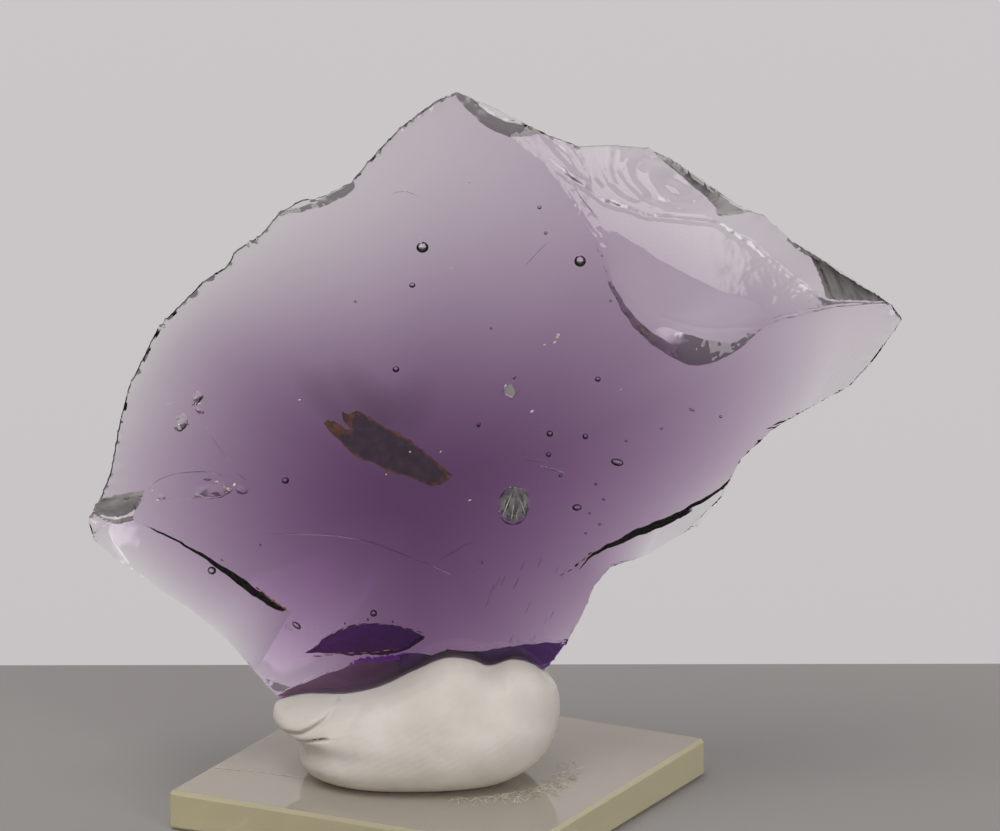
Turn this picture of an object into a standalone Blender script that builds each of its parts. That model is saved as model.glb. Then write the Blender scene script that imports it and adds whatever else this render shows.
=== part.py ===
# Andara glass: a flake of purple glass pressed into a lump of putty on a square acrylic base.
# The flake is a blank shaped like a thin lens, from which curved sheets cut the flake scars:
# facets along the rim, a deep scar with a hinge, and steps where a chip broke short.
# World axes: +X to the right along the flake's broad face, -Y out of its front, +Z up.
# The origin is the centre of the base's underside. Sizes are in millimetres until metres() is used.

import math
import random

import bmesh
import bpy
from mathutils import Matrix, Vector

MM = 0.001
GAP = 0.3

# Acrylic base: a standard 1 1/4 inch square, 1/8 inch thick.
BASE_SIDE = 31.75
BASE_THICKNESS = 3.175
BASE_CHAMFER = 0.35
BASE_TURN = math.radians(-27.65)

# Glass flake: its outline seen from the front, anticlockwise from the right-hand side.
FLAKE_OUTLINE = [
    (22.4, 25.3), (24.0, 28.6), (26.5, 31.0), (29.0, 32.5), (32.4, 34.4), (34.0, 36.1), (36.0, 39.0),
    (36.6, 40.0), (35.7, 41.2), (32.2, 43.6), (28.2, 46.0), (25.7, 48.3), (24.3, 48.7), (21.0, 51.1),
    (18.7, 52.8), (16.6, 53.8), (13.7, 54.1), (11.3, 54.0), (8.7, 55.0), (6.4, 56.2), (3.9, 57.5),
    (1.5, 58.5), (-0.1, 57.8), (-3.0, 55.6), (-4.9, 53.5), (-6.8, 51.2), (-9.1, 50.0), (-10.7, 49.7),
    (-12.4, 48.8), (-13.8, 47.0), (-15.8, 45.7), (-16.7, 44.3), (-18.5, 43.1), (-20.2, 41.3),
    (-22.0, 39.5), (-23.2, 37.0), (-24.4, 34.5), (-25.1, 31.8), (-25.9, 27.5), (-26.7, 25.4),
    (-27.7, 23.5), (-27.2, 21.8), (-25.4, 20.2), (-22.7, 18.2), (-19.8, 16.3), (-16.9, 13.8),
    (-14.9, 11.3), (-12.9, 9.0), (-9.5, 7.6), (-5.0, 7.3), (0.0, 8.2), (5.0, 9.4), (8.6, 11.2),
    (10.3, 13.6), (11.4, 15.7), (12.4, 18.3), (13.7, 19.9), (16.8, 20.8), (18.6, 21.9), (20.7, 23.1),
]
FLAKE_SUMMIT = (-2.2, 24.4)
FLAKE_THICKNESS = 7.5
FLAKE_FRONT_SHARE = 0.42
FLAKE_SEGMENTS = 112
FLAKE_RINGS = 24
SUMMIT_ROUNDING = 0.18
RIM_CHIPPING = 0.22

# How the thickness falls from the summit: direction in degrees, reach to the rim, rim thickness,
# and the power of the fall.
FLAKE_FALL = [
    (-180, 25.0, 0.5, 1.00), (-160, 20.8, 0.5, 0.95), (-140, 18.6, 0.6, 0.90), (-120, 17.4, 1.9, 1.05),
    (-100, 15.2, 4.5, 1.30), (-80, 14.2, 4.6, 1.00), (-60, 16.0, 2.2, 0.62), (-40, 17.6, 0.7, 0.55),
    (-20, 18.6, 0.5, 0.52), (0, 23.6, 0.5, 0.68), (15, 32.5, 0.6, 0.92), (30, 38.5, 1.4, 1.35),
    (45, 36.5, 2.8, 2.30), (60, 34.5, 2.5, 2.50), (80, 32.4, 1.1, 2.30), (100, 28.6, 0.8, 2.05),
    (120, 25.8, 0.7, 1.45), (140, 24.8, 0.6, 1.00), (160, 24.6, 0.5, 0.93),
]

# Flake scars: the side they are on (-1 front, 1 back), the least glass they leave, and the curves
# of the sheet that cuts each one, as (x, z, depth under the face). A negative depth is in the air.
FLAKE_SCARS = {
    "upper_right_scar": (-1, 0.6, [
        [(0.0, 58.5, -1.2), (3.3, 55.0, -1.2), (7.4, 51.2, -1.2), (9.9, 47.8, -1.2), (11.4, 44.6, -1.2),
         (12.6, 41.3, -1.2), (15.2, 37.6, -1.2), (20.0, 34.9, -1.2), (24.0, 36.2, -1.2), (26.7, 38.2, -1.2),
         (29.5, 39.1, -1.2), (35.6, 40.0, -1.2), (39.0, 40.2, -1.2)],
        [(2.0, 59.8, 0.0), (4.8, 56.0, 0.0), (8.9, 52.1, 0.0), (11.3, 48.5, 0.0), (12.8, 45.2, 0.0),
         (14.0, 41.9, 0.0), (16.4, 38.7, 0.0), (20.1, 36.5, 0.0), (23.5, 37.6, 0.0), (26.0, 39.6, 0.0),
         (29.1, 40.5, 0.0), (35.4, 41.4, 0.0), (38.8, 41.6, 0.0)],
        [(2.6, 60.2, 0.1), (5.4, 56.4, 0.1), (9.7, 52.3, 0.2), (12.1, 48.7, 0.2), (13.8, 45.5, 0.3),
         (15.2, 42.2, 0.75), (17.5, 39.7, 1.3), (20.3, 38.3, 1.2), (23.4, 38.6, 0.5), (25.9, 40.2, 0.2),
         (29.1, 41.1, 0.15), (35.4, 42.0, 0.1), (38.8, 42.2, 0.1)],
        [(3.0, 60.6, 0.2), (5.9, 56.8, 0.2), (10.4, 52.2, 0.3), (13.4, 48.9, 0.55), (15.4, 46.8, 0.65),
         (17.9, 44.7, 0.8), (20.6, 43.1, 0.9), (23.2, 42.0, 0.85), (25.0, 41.4, 0.7), (26.6, 41.2, 0.35),
         (29.3, 41.7, 0.25), (35.4, 42.5, 0.2), (38.8, 42.7, 0.2)],
        [(3.4, 61.2, 0.3), (6.4, 57.3, 0.3), (11.2, 52.6, 0.4), (15.0, 50.0, 0.9), (17.0, 49.0, 1.2),
         (19.1, 48.2, 1.5), (21.9, 47.6, 1.75), (24.4, 45.9, 1.6), (26.2, 44.5, 1.3), (28.0, 43.4, 0.8),
         (29.8, 42.6, 0.4), (35.5, 43.1, 0.3), (39.0, 43.3, 0.3)],
        [(4.2, 62.0, 0.5), (8.4, 57.8, 0.5), (13.4, 56.2, 0.75), (17.6, 55.0, 1.15), (20.6, 53.2, 1.3),
         (23.0, 51.6, 1.6), (26.1, 49.8, 1.8), (29.0, 47.8, 1.6), (31.0, 46.4, 1.2), (33.0, 45.0, 0.8),
         (34.6, 44.2, 0.5), (38.6, 44.0, 0.35), (41.0, 44.2, 0.3)],
    ]),
    "right_tip_facet": (-1, 0.3, [
        [(25.3, 47.3, -0.6), (27.0, 44.6, -0.6), (27.6, 42.0, -0.8), (29.5, 39.8, -1.2), (35.3, 39.6, -1.2),
         (40.0, 39.8, -1.2)],
        [(27.0, 48.0, 0.9), (28.6, 45.4, 0.75), (29.9, 43.0, 0.5), (31.2, 41.4, 0.2), (35.4, 41.5, 0.1),
         (39.5, 41.5, 0.1)],
        [(29.5, 51.5, 4.0), (31.4, 48.6, 3.1), (32.6, 46.0, 2.5), (33.4, 44.6, 2.2), (36.6, 44.2, 2.0),
         (40.5, 44.0, 2.0)],
    ]),
    "peak_facet": (-1, 0.3, [
        [(-0.5, 57.8, -1.0), (1.2, 55.8, -1.0), (3.4, 54.3, -1.0), (5.6, 53.7, -1.0), (7.6, 53.6, -1.0)],
        [(0.6, 59.3, 0.0), (2.4, 57.2, 0.05), (4.1, 55.8, 0.1), (6.1, 55.1, 0.3), (8.2, 55.2, 0.4)],
        [(2.4, 63.0, 3.0), (4.2, 60.8, 2.6), (5.9, 59.3, 2.6), (7.9, 58.6, 2.8), (10.0, 58.6, 2.9)],
    ]),
    "left_tip_facet": (-1, 0.3, [
        [(-20.6, 28.6, -1.0), (-21.0, 25.8, -1.0), (-22.6, 22.6, -1.0), (-26.0, 21.6, -1.0)],
        [(-24.6, 28.4, 0.0), (-23.2, 26.0, 0.0), (-24.3, 23.9, 0.0), (-26.8, 23.4, 0.0)],
        [(-30.0, 28.6, 3.6), (-29.2, 26.6, 3.4), (-29.6, 25.4, 3.2), (-30.6, 24.4, 2.6)],
    ]),
    "lower_left_step": (1, 0.4, [
        [(-7.9, 16.2, -1.2), (-10.9, 18.4, -1.2), (-13.4, 19.8, -1.2), (-15.7, 21.0, -1.2),
         (-19.7, 22.9, -1.2), (-23.2, 25.0, -1.2), (-27.6, 27.2, -1.2)],
        [(-9.5, 14.6, 0.0), (-12.0, 16.3, 0.0), (-14.3, 18.0, 0.0), (-16.5, 19.2, 0.0), (-20.5, 21.2, 0.0),
         (-24.0, 23.3, 0.0), (-28.5, 25.4, 0.0)],
        [(-9.8, 14.1, 0.2), (-12.4, 15.7, 0.8), (-14.9, 17.2, 1.15), (-17.0, 18.5, 1.0), (-20.9, 20.5, 0.7),
         (-24.4, 22.6, 0.5), (-28.9, 24.7, 0.4)],
        [(-14.4, 8.0, 0.5), (-17.0, 9.6, 1.2), (-19.3, 11.2, 1.3), (-21.5, 12.4, 1.1), (-25.5, 14.4, 0.8),
         (-29.0, 16.5, 0.6), (-33.5, 18.4, 0.5)],
    ]),
    "lower_right_step": (1, 0.4, [
        [(26.2, 31.2, -1.2), (22.7, 28.0, -1.2), (19.7, 26.2, -1.2), (16.2, 24.4, -1.2), (12.7, 22.6, -1.2),
         (10.6, 21.4, -1.2), (8.6, 19.9, -1.2)],
        [(27.0, 29.3, 0.0), (23.5, 26.2, 0.0), (20.5, 24.4, 0.0), (17.0, 22.6, 0.0), (13.5, 20.9, 0.0),
         (11.6, 19.8, 0.0), (9.5, 18.4, 0.0)],
        [(27.2, 28.9, 0.5), (23.8, 25.6, 1.2), (20.9, 23.7, 1.7), (17.5, 21.7, 2.0), (13.8, 20.2, 1.5),
         (11.8, 19.4, 0.6), (9.8, 18.1, 0.15)],
        [(30.6, 22.2, 0.8), (27.1, 19.1, 1.4), (24.1, 17.3, 1.9), (20.6, 15.5, 2.2), (17.1, 13.8, 2.2),
         (15.2, 12.7, 1.2), (13.1, 11.2, 0.3)],
    ]),
    "bottom_left_facet": (-1, 0.4, [
        [(-0.2, 14.4, -1.2), (-2.6, 14.0, -1.2), (-7.2, 12.8, -1.2), (-11.4, 10.9, -1.2), (-15.4, 8.9, -1.2)],
        [(-0.7, 12.9, 0.0), (-3.0, 12.4, 0.0), (-7.8, 11.2, 0.0), (-12.2, 9.2, 0.0), (-16.0, 7.2, 0.0)],
        [(-0.8, 4.0, 7.0), (-4.0, 3.6, 7.0), (-9.8, 2.6, 7.0), (-14.6, 1.4, 6.5), (-18.0, 0.4, 6.0)],
    ]),
    "bottom_right_facet": (-1, 0.4, [
        [(13.4, 16.4, -1.2), (10.2, 15.5, -1.2), (3.3, 14.9, -1.2), (0.9, 15.1, -1.2), (-1.2, 14.4, -1.2)],
        [(13.2, 14.6, 0.0), (10.1, 13.9, 0.0), (3.3, 13.3, 0.0), (0.9, 13.5, 0.0), (-0.9, 12.8, 0.0)],
        [(14.4, 6.0, 6.5), (11.0, 5.4, 6.8), (3.9, 4.8, 7.0), (1.2, 4.6, 7.0), (-0.9, 4.4, 7.0)],
    ]),
    "bottom_lens": (-1, 1.0, [
        [(-10.6, 13.4, -1.0), (-8.6, 15.8, -1.0), (-5.6, 16.5, -1.0), (-2.6, 16.3, -1.0), (-0.2, 15.2, -1.0)],
        [(-10.1, 12.3, 0.0), (-7.9, 14.2, 0.0), (-5.6, 14.9, 0.0), (-3.2, 14.9, 0.0), (-1.1, 14.3, 0.0)],
        [(-9.7, 12.0, 0.2), (-7.8, 12.6, 1.1), (-5.6, 13.0, 1.35), (-3.2, 13.5, 1.0), (-1.1, 14.0, 0.2)],
        [(-9.6, 11.0, -1.0), (-7.6, 11.5, -1.0), (-5.4, 11.9, -1.0), (-3.0, 12.4, -1.0), (-0.7, 12.9, -1.0)],
    ]),
}
SCAR_COLUMN = 1.6
SCAR_BLOCK = 12.0

# Putty: levels from its foot to its crown, as (share of the rows, share of the height, left, right,
# front, back), and the height of its crown along X.
PUTTY_LEVELS = [
    (0.00, 0.00, -1.2, -1.0, -2.6, -2.4), (0.10, 0.00, -7.0, 4.6, -6.6, 3.2),
    (0.20, 0.05, -9.0, 6.6, -8.2, 4.6), (0.32, 0.22, -10.5, 8.3, -9.3, 5.6),
    (0.46, 0.46, -11.0, 9.3, -9.3, 5.9), (0.60, 0.66, -12.7, 9.6, -8.5, 5.4),
    (0.72, 0.83, -13.1, 9.5, -7.4, 4.6), (0.82, 0.94, -12.3, 9.0, -6.2, 3.7),
    (0.91, 0.99, -9.0, 6.6, -4.4, 2.2), (1.00, 1.00, -1.2, -1.0, -1.3, -1.1),
]
PUTTY_TOP = [
    (-14.0, 9.5), (-11.0, 10.1), (-6.0, 10.7), (-2.6, 12.7), (0.8, 13.5), (3.6, 13.1), (4.8, 12.7),
    (6.6, 12.9), (8.8, 11.9), (11.0, 10.4),
]
PUTTY_SQUARENESS = 2.4
PUTTY_SEGMENTS = 44
PUTTY_RINGS = 24
# Creases where the putty was folded: points (x, z) on its front, and depth.
PUTTY_CREASES = [
    ([(-12.0, 6.7), (-9.4, 7.9), (-7.4, 9.8)], 0.9),
    ([(-11.4, 5.2), (-9.2, 6.0)], 0.6),
]


def metres(point):
    return Vector(point) * MM


def mix_table(table, x):
    # Smooth interpolation in a table of rows that start with their position.
    for low, high in zip(table, table[1:]):
        if x <= high[0]:
            share = min(max((x - low[0]) / (high[0] - low[0]), 0.0), 1.0)
            share = share * share * (3.0 - 2.0 * share)
            return [a + (b - a) * share for a, b in zip(low[1:], high[1:])]
    return list(table[-1][1:])


def fall_towards(degrees):
    # Smooth values round the closed table of the fall.
    table = FLAKE_FALL
    rows = [(table[-1][0] - 360, *table[-1][1:])] + table
    rows += [(row[0] + 360, *row[1:]) for row in table[:2]]
    number = 1
    while number < len(rows) - 3 and rows[number + 1][0] <= degrees:
        number += 1
    before, low, high, after = rows[number - 1 : number + 3]
    span = high[0] - low[0]
    t = (degrees - low[0]) / span
    values = []
    for p, a, b, q in zip(before[1:], low[1:], high[1:], after[1:]):
        slope_a = (b - p) / (high[0] - before[0]) * span
        slope_b = (q - a) / (after[0] - low[0]) * span
        values.append(
            (2 * t**3 - 3 * t**2 + 1) * a
            + (t**3 - 2 * t**2 + t) * slope_a
            + (3 * t**2 - 2 * t**3) * b
            + (t**3 - t**2) * slope_b
        )
    return values


def thickness_at(x, z):
    out = Vector((x, z)) - Vector(FLAKE_SUMMIT)
    reach, rim, power = fall_towards(math.degrees(math.atan2(out.y, out.x)))
    top = math.hypot(1.0, SUMMIT_ROUNDING)
    fall = (top - math.hypot(out.length / reach, SUMMIT_ROUNDING)) / (top - SUMMIT_ROUNDING)
    return rim + (FLAKE_THICKNESS - rim) * max(fall, 0.0) ** power


def face_depth(x, z, side):
    # How far the blank's front (-1) or back (1) stands from its middle plane.
    share = FLAKE_FRONT_SHARE if side < 0 else 1.0 - FLAKE_FRONT_SHARE
    return side * share * thickness_at(x, z)


def curve_at(curve, place):
    # A smooth curve through its stations; place counts stations.
    number = min(int(place), len(curve) - 2)
    t = place - number
    a, b = curve[number], curve[number + 1]
    before = curve[number - 1] if number > 0 else [2 * u - v for u, v in zip(a, b)]
    after = curve[number + 2] if number + 2 < len(curve) else [2 * v - u for u, v in zip(a, b)]
    return [
        0.5 * (2 * q + (r - p) * t + (2 * p - 5 * q + 4 * r - s) * t**2 + (3 * q - p - 3 * r + s) * t**3)
        for p, q, r, s in zip(before, a, b, after)
    ]


def outline_points(outline, count):
    # Points at equal distances along the closed outline.
    closed = [Vector(p) for p in outline + outline[:1]]
    lengths = [(b - a).length for a, b in zip(closed, closed[1:])]
    spacing = sum(lengths) / count
    points = []
    side, passed = 0, 0.0
    for number in range(count):
        while passed + lengths[side] < number * spacing:
            passed += lengths[side]
            side += 1
        share = (number * spacing - passed) / lengths[side]
        points.append(closed[side].lerp(closed[side + 1], share))
    return points


def make_object(name, mesh_data, collection, material):
    obj = bpy.data.objects.new(name, mesh_data)
    collection.objects.link(obj)
    mesh_data.materials.append(material)
    return obj


def mesh_from(bm, name):
    bmesh.ops.recalc_face_normals(bm, faces=bm.faces)
    data = bpy.data.meshes.new(name)
    bm.to_mesh(data)
    bm.free()
    return data


def flake_mesh(name, chipping, spare):
    # A sphere whose poles are the summits of the two faces and whose equator is the rim.
    # spare is added all round, for the socket that the putty closes on the flake.
    rng = random.Random(5)
    rim = outline_points(FLAKE_OUTLINE, FLAKE_SEGMENTS)
    chips = [(rng.uniform(-chipping, 0.05), rng.uniform(-chipping, chipping)) for _ in rim]
    summit = Vector(FLAKE_SUMMIT)
    bm = bmesh.new()
    bmesh.ops.create_uvsphere(
        bm,
        u_segments=FLAKE_SEGMENTS,
        v_segments=FLAKE_RINGS,
        radius=1.0,
        matrix=Matrix.Rotation(math.radians(90.0), 4, "X"),
    )
    for vert in bm.verts:
        latitude = math.asin(max(-1.0, min(1.0, vert.co.y))) / (math.pi / 2)
        turn = math.atan2(vert.co.z, vert.co.x) / (2 * math.pi)
        column = round(turn * FLAKE_SEGMENTS) % FLAKE_SEGMENTS
        share = 1.0 - abs(latitude) ** 1.3
        inward, shift = chips[column]
        spoke = rim[column] - summit
        reach = (spoke.length + spare + inward * share**6) / spoke.length
        place = summit + spoke * (share * reach)
        side = math.copysign(1.0, latitude)
        if abs(latitude) < 0.5 / FLAKE_RINGS:
            depth = shift
        else:
            depth = face_depth(place.x, place.y, side) + side * spare
        vert.co = metres((place.x, depth, place.y))
    return mesh_from(bm, name)


def make_sheet(name, values, collection):
    # A sheet through the curves, following the face, drawn out to a block in front of the face.
    side, leave, curves = values
    length = max(sum(math.dist(a[:2], b[:2]) for a, b in zip(curve, curve[1:])) for curve in curves)
    columns = math.ceil(length / SCAR_COLUMN)
    rows = []
    for curve in curves:
        stations = (n / columns * (len(curve) - 1) for n in range(columns + 1))
        rows.append([curve_at(curve, place) for place in stations])
    bm = bmesh.new()
    bmesh.ops.create_grid(bm, x_segments=columns, y_segments=len(rows) - 1, size=0.5)
    for vert in bm.verts:
        row = rows[round((vert.co.y + 0.5) * (len(rows) - 1))]
        x, z, depth = row[round((vert.co.x + 0.5) * columns)]
        depth = min(depth, thickness_at(x, z) - leave)
        vert.co = metres((x, face_depth(x, z, side) - side * depth, z))
    drawn = bmesh.ops.extrude_face_region(bm, geom=list(bm.faces))
    for vert in drawn["geom"]:
        if isinstance(vert, bmesh.types.BMVert):
            vert.co.y = side * SCAR_BLOCK * MM
    return make_cutter(name, bm, collection)


def make_cutter(name, bm, collection):
    cutter = bpy.data.objects.new(f"cut_{name}", mesh_from(bm, f"cut_{name}"))
    collection.objects.link(cutter)
    cutter.hide_render = True
    cutter.display_type = "WIRE"
    return cutter


def cut(obj, cutter):
    boolean = obj.modifiers.new(cutter.name, "BOOLEAN")
    boolean.operation = "DIFFERENCE"
    boolean.solver = "EXACT"
    boolean.object = cutter


def crease_depth(x, z):
    # How far the nearest crease presses the putty in at a point of its front.
    pressed = 0.0
    for route, depth in PUTTY_CREASES:
        for a, b in zip(route, route[1:]):
            start, end, here = Vector(a), Vector(b), Vector((x, z))
            run = end - start
            share = max(0.0, min(1.0, (here - start).dot(run) / run.length_squared))
            away = (here - start - run * share).length
            pressed = max(pressed, depth * math.exp(-((away / 0.7) ** 2)))
    return pressed


def putty_mesh(name):
    floor = BASE_THICKNESS + GAP
    bm = bmesh.new()
    bmesh.ops.create_uvsphere(bm, u_segments=PUTTY_SEGMENTS, v_segments=PUTTY_RINGS, radius=1.0)
    for vert in bm.verts:
        level = math.asin(max(-1.0, min(1.0, vert.co.z))) / math.pi + 0.5
        turn = math.atan2(vert.co.y, vert.co.x)
        height, left, right, front, back = mix_table(PUTTY_LEVELS, level)
        wide, deep = math.cos(turn), math.sin(turn)
        round_off = (abs(wide) ** PUTTY_SQUARENESS + abs(deep) ** PUTTY_SQUARENESS) ** (1 / PUTTY_SQUARENESS)
        x = (left + right) / 2 + (right - left) / 2 * wide / round_off
        y = (front + back) / 2 + (back - front) / 2 * deep / round_off
        z = floor + (mix_table(PUTTY_TOP, x)[0] - floor) * height
        if deep < -0.1:
            y += crease_depth(x, z)
        vert.co = metres((x, y, z))
    return mesh_from(bm, name)


def base_mesh(name):
    bm = bmesh.new()
    bmesh.ops.create_cube(bm, size=1.0)
    size = Matrix.Diagonal((*metres((BASE_SIDE, BASE_SIDE, BASE_THICKNESS)), 1.0))
    lift = Matrix.Translation(metres((0.0, 0.0, BASE_THICKNESS / 2)))
    bmesh.ops.transform(bm, matrix=lift @ size, verts=bm.verts)
    return mesh_from(bm, name)


def make_material(name, colour, roughness, transmission, ior):
    material = bpy.data.materials.new(name)
    material.use_nodes = True
    shader = material.node_tree.nodes["Principled BSDF"]
    shader.inputs["Base Color"].default_value = (*colour, 1.0)
    shader.inputs["Roughness"].default_value = roughness
    shader.inputs["Metallic"].default_value = 0.0
    shader.inputs["Transmission Weight"].default_value = transmission
    shader.inputs["IOR"].default_value = ior
    return material


def clear_scene():
    for obj in list(bpy.data.objects):
        bpy.data.objects.remove(obj, do_unlink=True)


def make_collection(name):
    collection = bpy.data.collections.new(name)
    bpy.context.scene.collection.children.link(collection)
    return collection


def build():
    clear_scene()
    parts = make_collection("andara_glass")
    cutters = make_collection("cutters")

    glass = make_material("purple_glass", (0.36, 0.20, 0.42), 0.03, 1.0, 1.5)
    putty_white = make_material("white_putty", (0.72, 0.69, 0.64), 0.75, 0.0, 1.45)
    acrylic = make_material("yellowed_acrylic", (0.85, 0.78, 0.55), 0.1, 1.0, 1.49)

    flake = make_object("glass_flake", flake_mesh("glass_flake", RIM_CHIPPING, 0.0), parts, glass)
    for name, values in FLAKE_SCARS.items():
        cut(flake, make_sheet(name, values, cutters))

    putty = make_object("putty_lump", putty_mesh("putty_lump"), parts, putty_white)
    socket = bpy.data.objects.new("cut_socket", flake_mesh("cut_socket", 0.0, GAP))
    cutters.objects.link(socket)
    socket.hide_render = True
    socket.display_type = "WIRE"
    cut(putty, socket)
    putty.data.shade_smooth()

    base = make_object("acrylic_base", base_mesh("acrylic_base"), parts, acrylic)
    base.rotation_euler.z = BASE_TURN
    chamfer = base.modifiers.new("chamfer", "BEVEL")
    chamfer.width = BASE_CHAMFER * MM
    chamfer.segments = 1
    chamfer.limit_method = "ANGLE"


build()
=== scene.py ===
import math
import random

import bmesh
import bpy
from mathutils import Matrix, Vector, noise


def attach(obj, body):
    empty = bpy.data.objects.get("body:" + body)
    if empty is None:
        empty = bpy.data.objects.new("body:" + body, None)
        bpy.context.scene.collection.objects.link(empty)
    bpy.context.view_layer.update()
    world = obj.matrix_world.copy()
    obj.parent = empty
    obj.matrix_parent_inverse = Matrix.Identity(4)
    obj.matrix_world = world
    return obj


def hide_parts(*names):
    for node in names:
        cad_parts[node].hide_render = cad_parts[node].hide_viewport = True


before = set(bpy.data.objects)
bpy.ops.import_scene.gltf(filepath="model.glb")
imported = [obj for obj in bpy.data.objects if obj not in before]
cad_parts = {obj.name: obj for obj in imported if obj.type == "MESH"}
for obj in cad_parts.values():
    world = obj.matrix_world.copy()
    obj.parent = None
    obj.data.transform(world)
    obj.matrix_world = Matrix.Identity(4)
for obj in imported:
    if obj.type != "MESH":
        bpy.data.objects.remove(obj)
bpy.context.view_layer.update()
print("frame loaded:", sorted(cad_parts))

mm = 0.001
noise.seed_set(1)  # vector noise would otherwise start from the clock


def toMetres(point):
    return Vector(point) * mm


def meshObject(name, bm):
    bmesh.ops.recalc_face_normals(bm, faces=bm.faces)
    data = bpy.data.meshes.new(name)
    bm.to_mesh(data)
    bm.free()
    obj = bpy.data.objects.new(name, data)
    bpy.context.scene.collection.objects.link(obj)
    return obj


def drawnOut(bm, faces):
    # makes a block of the faces; its new corners are still where the old ones are
    made = bmesh.ops.extrude_face_region(bm, geom=list(faces))
    return [part for part in made["geom"] if isinstance(part, bmesh.types.BMVert)]


def takeEvaluated(obj, name):
    # the mesh as its modifiers leave it, in a new object; the old one goes
    bpy.context.view_layer.update()
    graph = bpy.context.evaluated_depsgraph_get()
    data = bpy.data.meshes.new_from_object(obj.evaluated_get(graph))
    bpy.data.objects.remove(obj)
    data.name = name
    made = bpy.data.objects.new(name, data)
    bpy.context.scene.collection.objects.link(made)
    return made


def cutAway(obj, cutters, name):
    for cutter in cutters:
        boolean = obj.modifiers.new(cutter.name, "BOOLEAN")
        boolean.operation = "DIFFERENCE"
        boolean.solver = "MANIFOLD"
        boolean.material_mode = "TRANSFER"
        boolean.object = cutter
    made = takeEvaluated(obj, name)
    for cutter in cutters:
        bpy.data.objects.remove(cutter)
    return made


def newMaterial(name):
    material = bpy.data.materials.new(name)
    material.use_nodes = True
    tree = material.node_tree
    return material, tree, tree.nodes["Principled BSDF"]


def addNode(tree, kind, inputs=None, **settings):
    node = tree.nodes.new(kind)
    for key, value in settings.items():
        setattr(node, key, value)
    return setInputs(node, inputs or {})


def setInputs(node, values):
    for name, value in values.items():
        node.inputs[name].default_value = value
    return node


def wire(tree, *pairs):
    for source, target in pairs:
        tree.links.new(source, target)


def mottledColours(tree, mottle, stops):
    # a ramp of colours over a noise texture: places and colours
    ramp = addNode(tree, "ShaderNodeValToRGB")
    for element, (place, colour) in zip(ramp.color_ramp.elements, stops):
        element.position = place
        element.color = (*colour, 1.0)
    wire(tree, (mottle.outputs["Fac"], ramp.inputs["Fac"]))
    return ramp.outputs["Color"]


camera = {
    "distance": 950.0,  # mm from the middle of the base
    "elevation": math.radians(18.14),
    "target": (4.9, 0.0, 32.1),
    "scale": 12.528,  # pixels to a millimetre at that distance
    "frameWidth": 1000,
}


def addCamera(settings):
    data = bpy.data.cameras.new("camera")
    obj = bpy.data.objects.new("camera", data)
    bpy.context.scene.collection.objects.link(obj)
    away, rise = settings["distance"], settings["elevation"]
    place = Vector((0.0, -away * math.cos(rise), away * math.sin(rise)))
    obj.location = toMetres(place)
    obj.rotation_euler = (Vector(settings["target"]) - place).to_track_quat("-Z", "Y").to_euler()
    data.sensor_width = 36.0
    data.lens = data.sensor_width * settings["scale"] * away / settings["frameWidth"]
    data.clip_start = 0.05
    data.clip_end = 20.0
    bpy.context.scene.camera = obj


addCamera(camera)
print("camera placed")


light = {
    "wallHigh": (0.610, 0.584, 0.591),
    "wallLow": (0.558, 0.533, 0.539),
    "ground": (0.20, 0.19, 0.19),
    "ceiling": (0.10, 0.10, 0.10),
    "wallLowAt": -0.36,  # sine of the elevation
    "wallHighAt": -0.2,
    "ceilingFrom": 0.68,
    "ceilingAt": 0.85,
    "wallEnd": -0.47,
    "groundAt": -0.53,
    "room": (0.27, 0.262, 0.258),  # what is behind the camera
    "roomFrom": 0.05,
    "roomAt": -0.5,
    # soft lamps far off: direction, cosines where each begins and is full, brightness
    "lamps": [
        ((0.354, -0.933, 0.056), 0.955, 0.992, 3.3),
        ((0.515, -0.767, 0.377), 0.982, 0.996, 7.0),
    ],
    "softbox": {
        "place": (-0.16, -0.17, 0.73), "target": (0.0, 0.0, 0.03), "size": (0.5, 0.5), "watts": 2.9,
        "colour": (1.0, 0.98, 0.96),
    },
}


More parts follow.
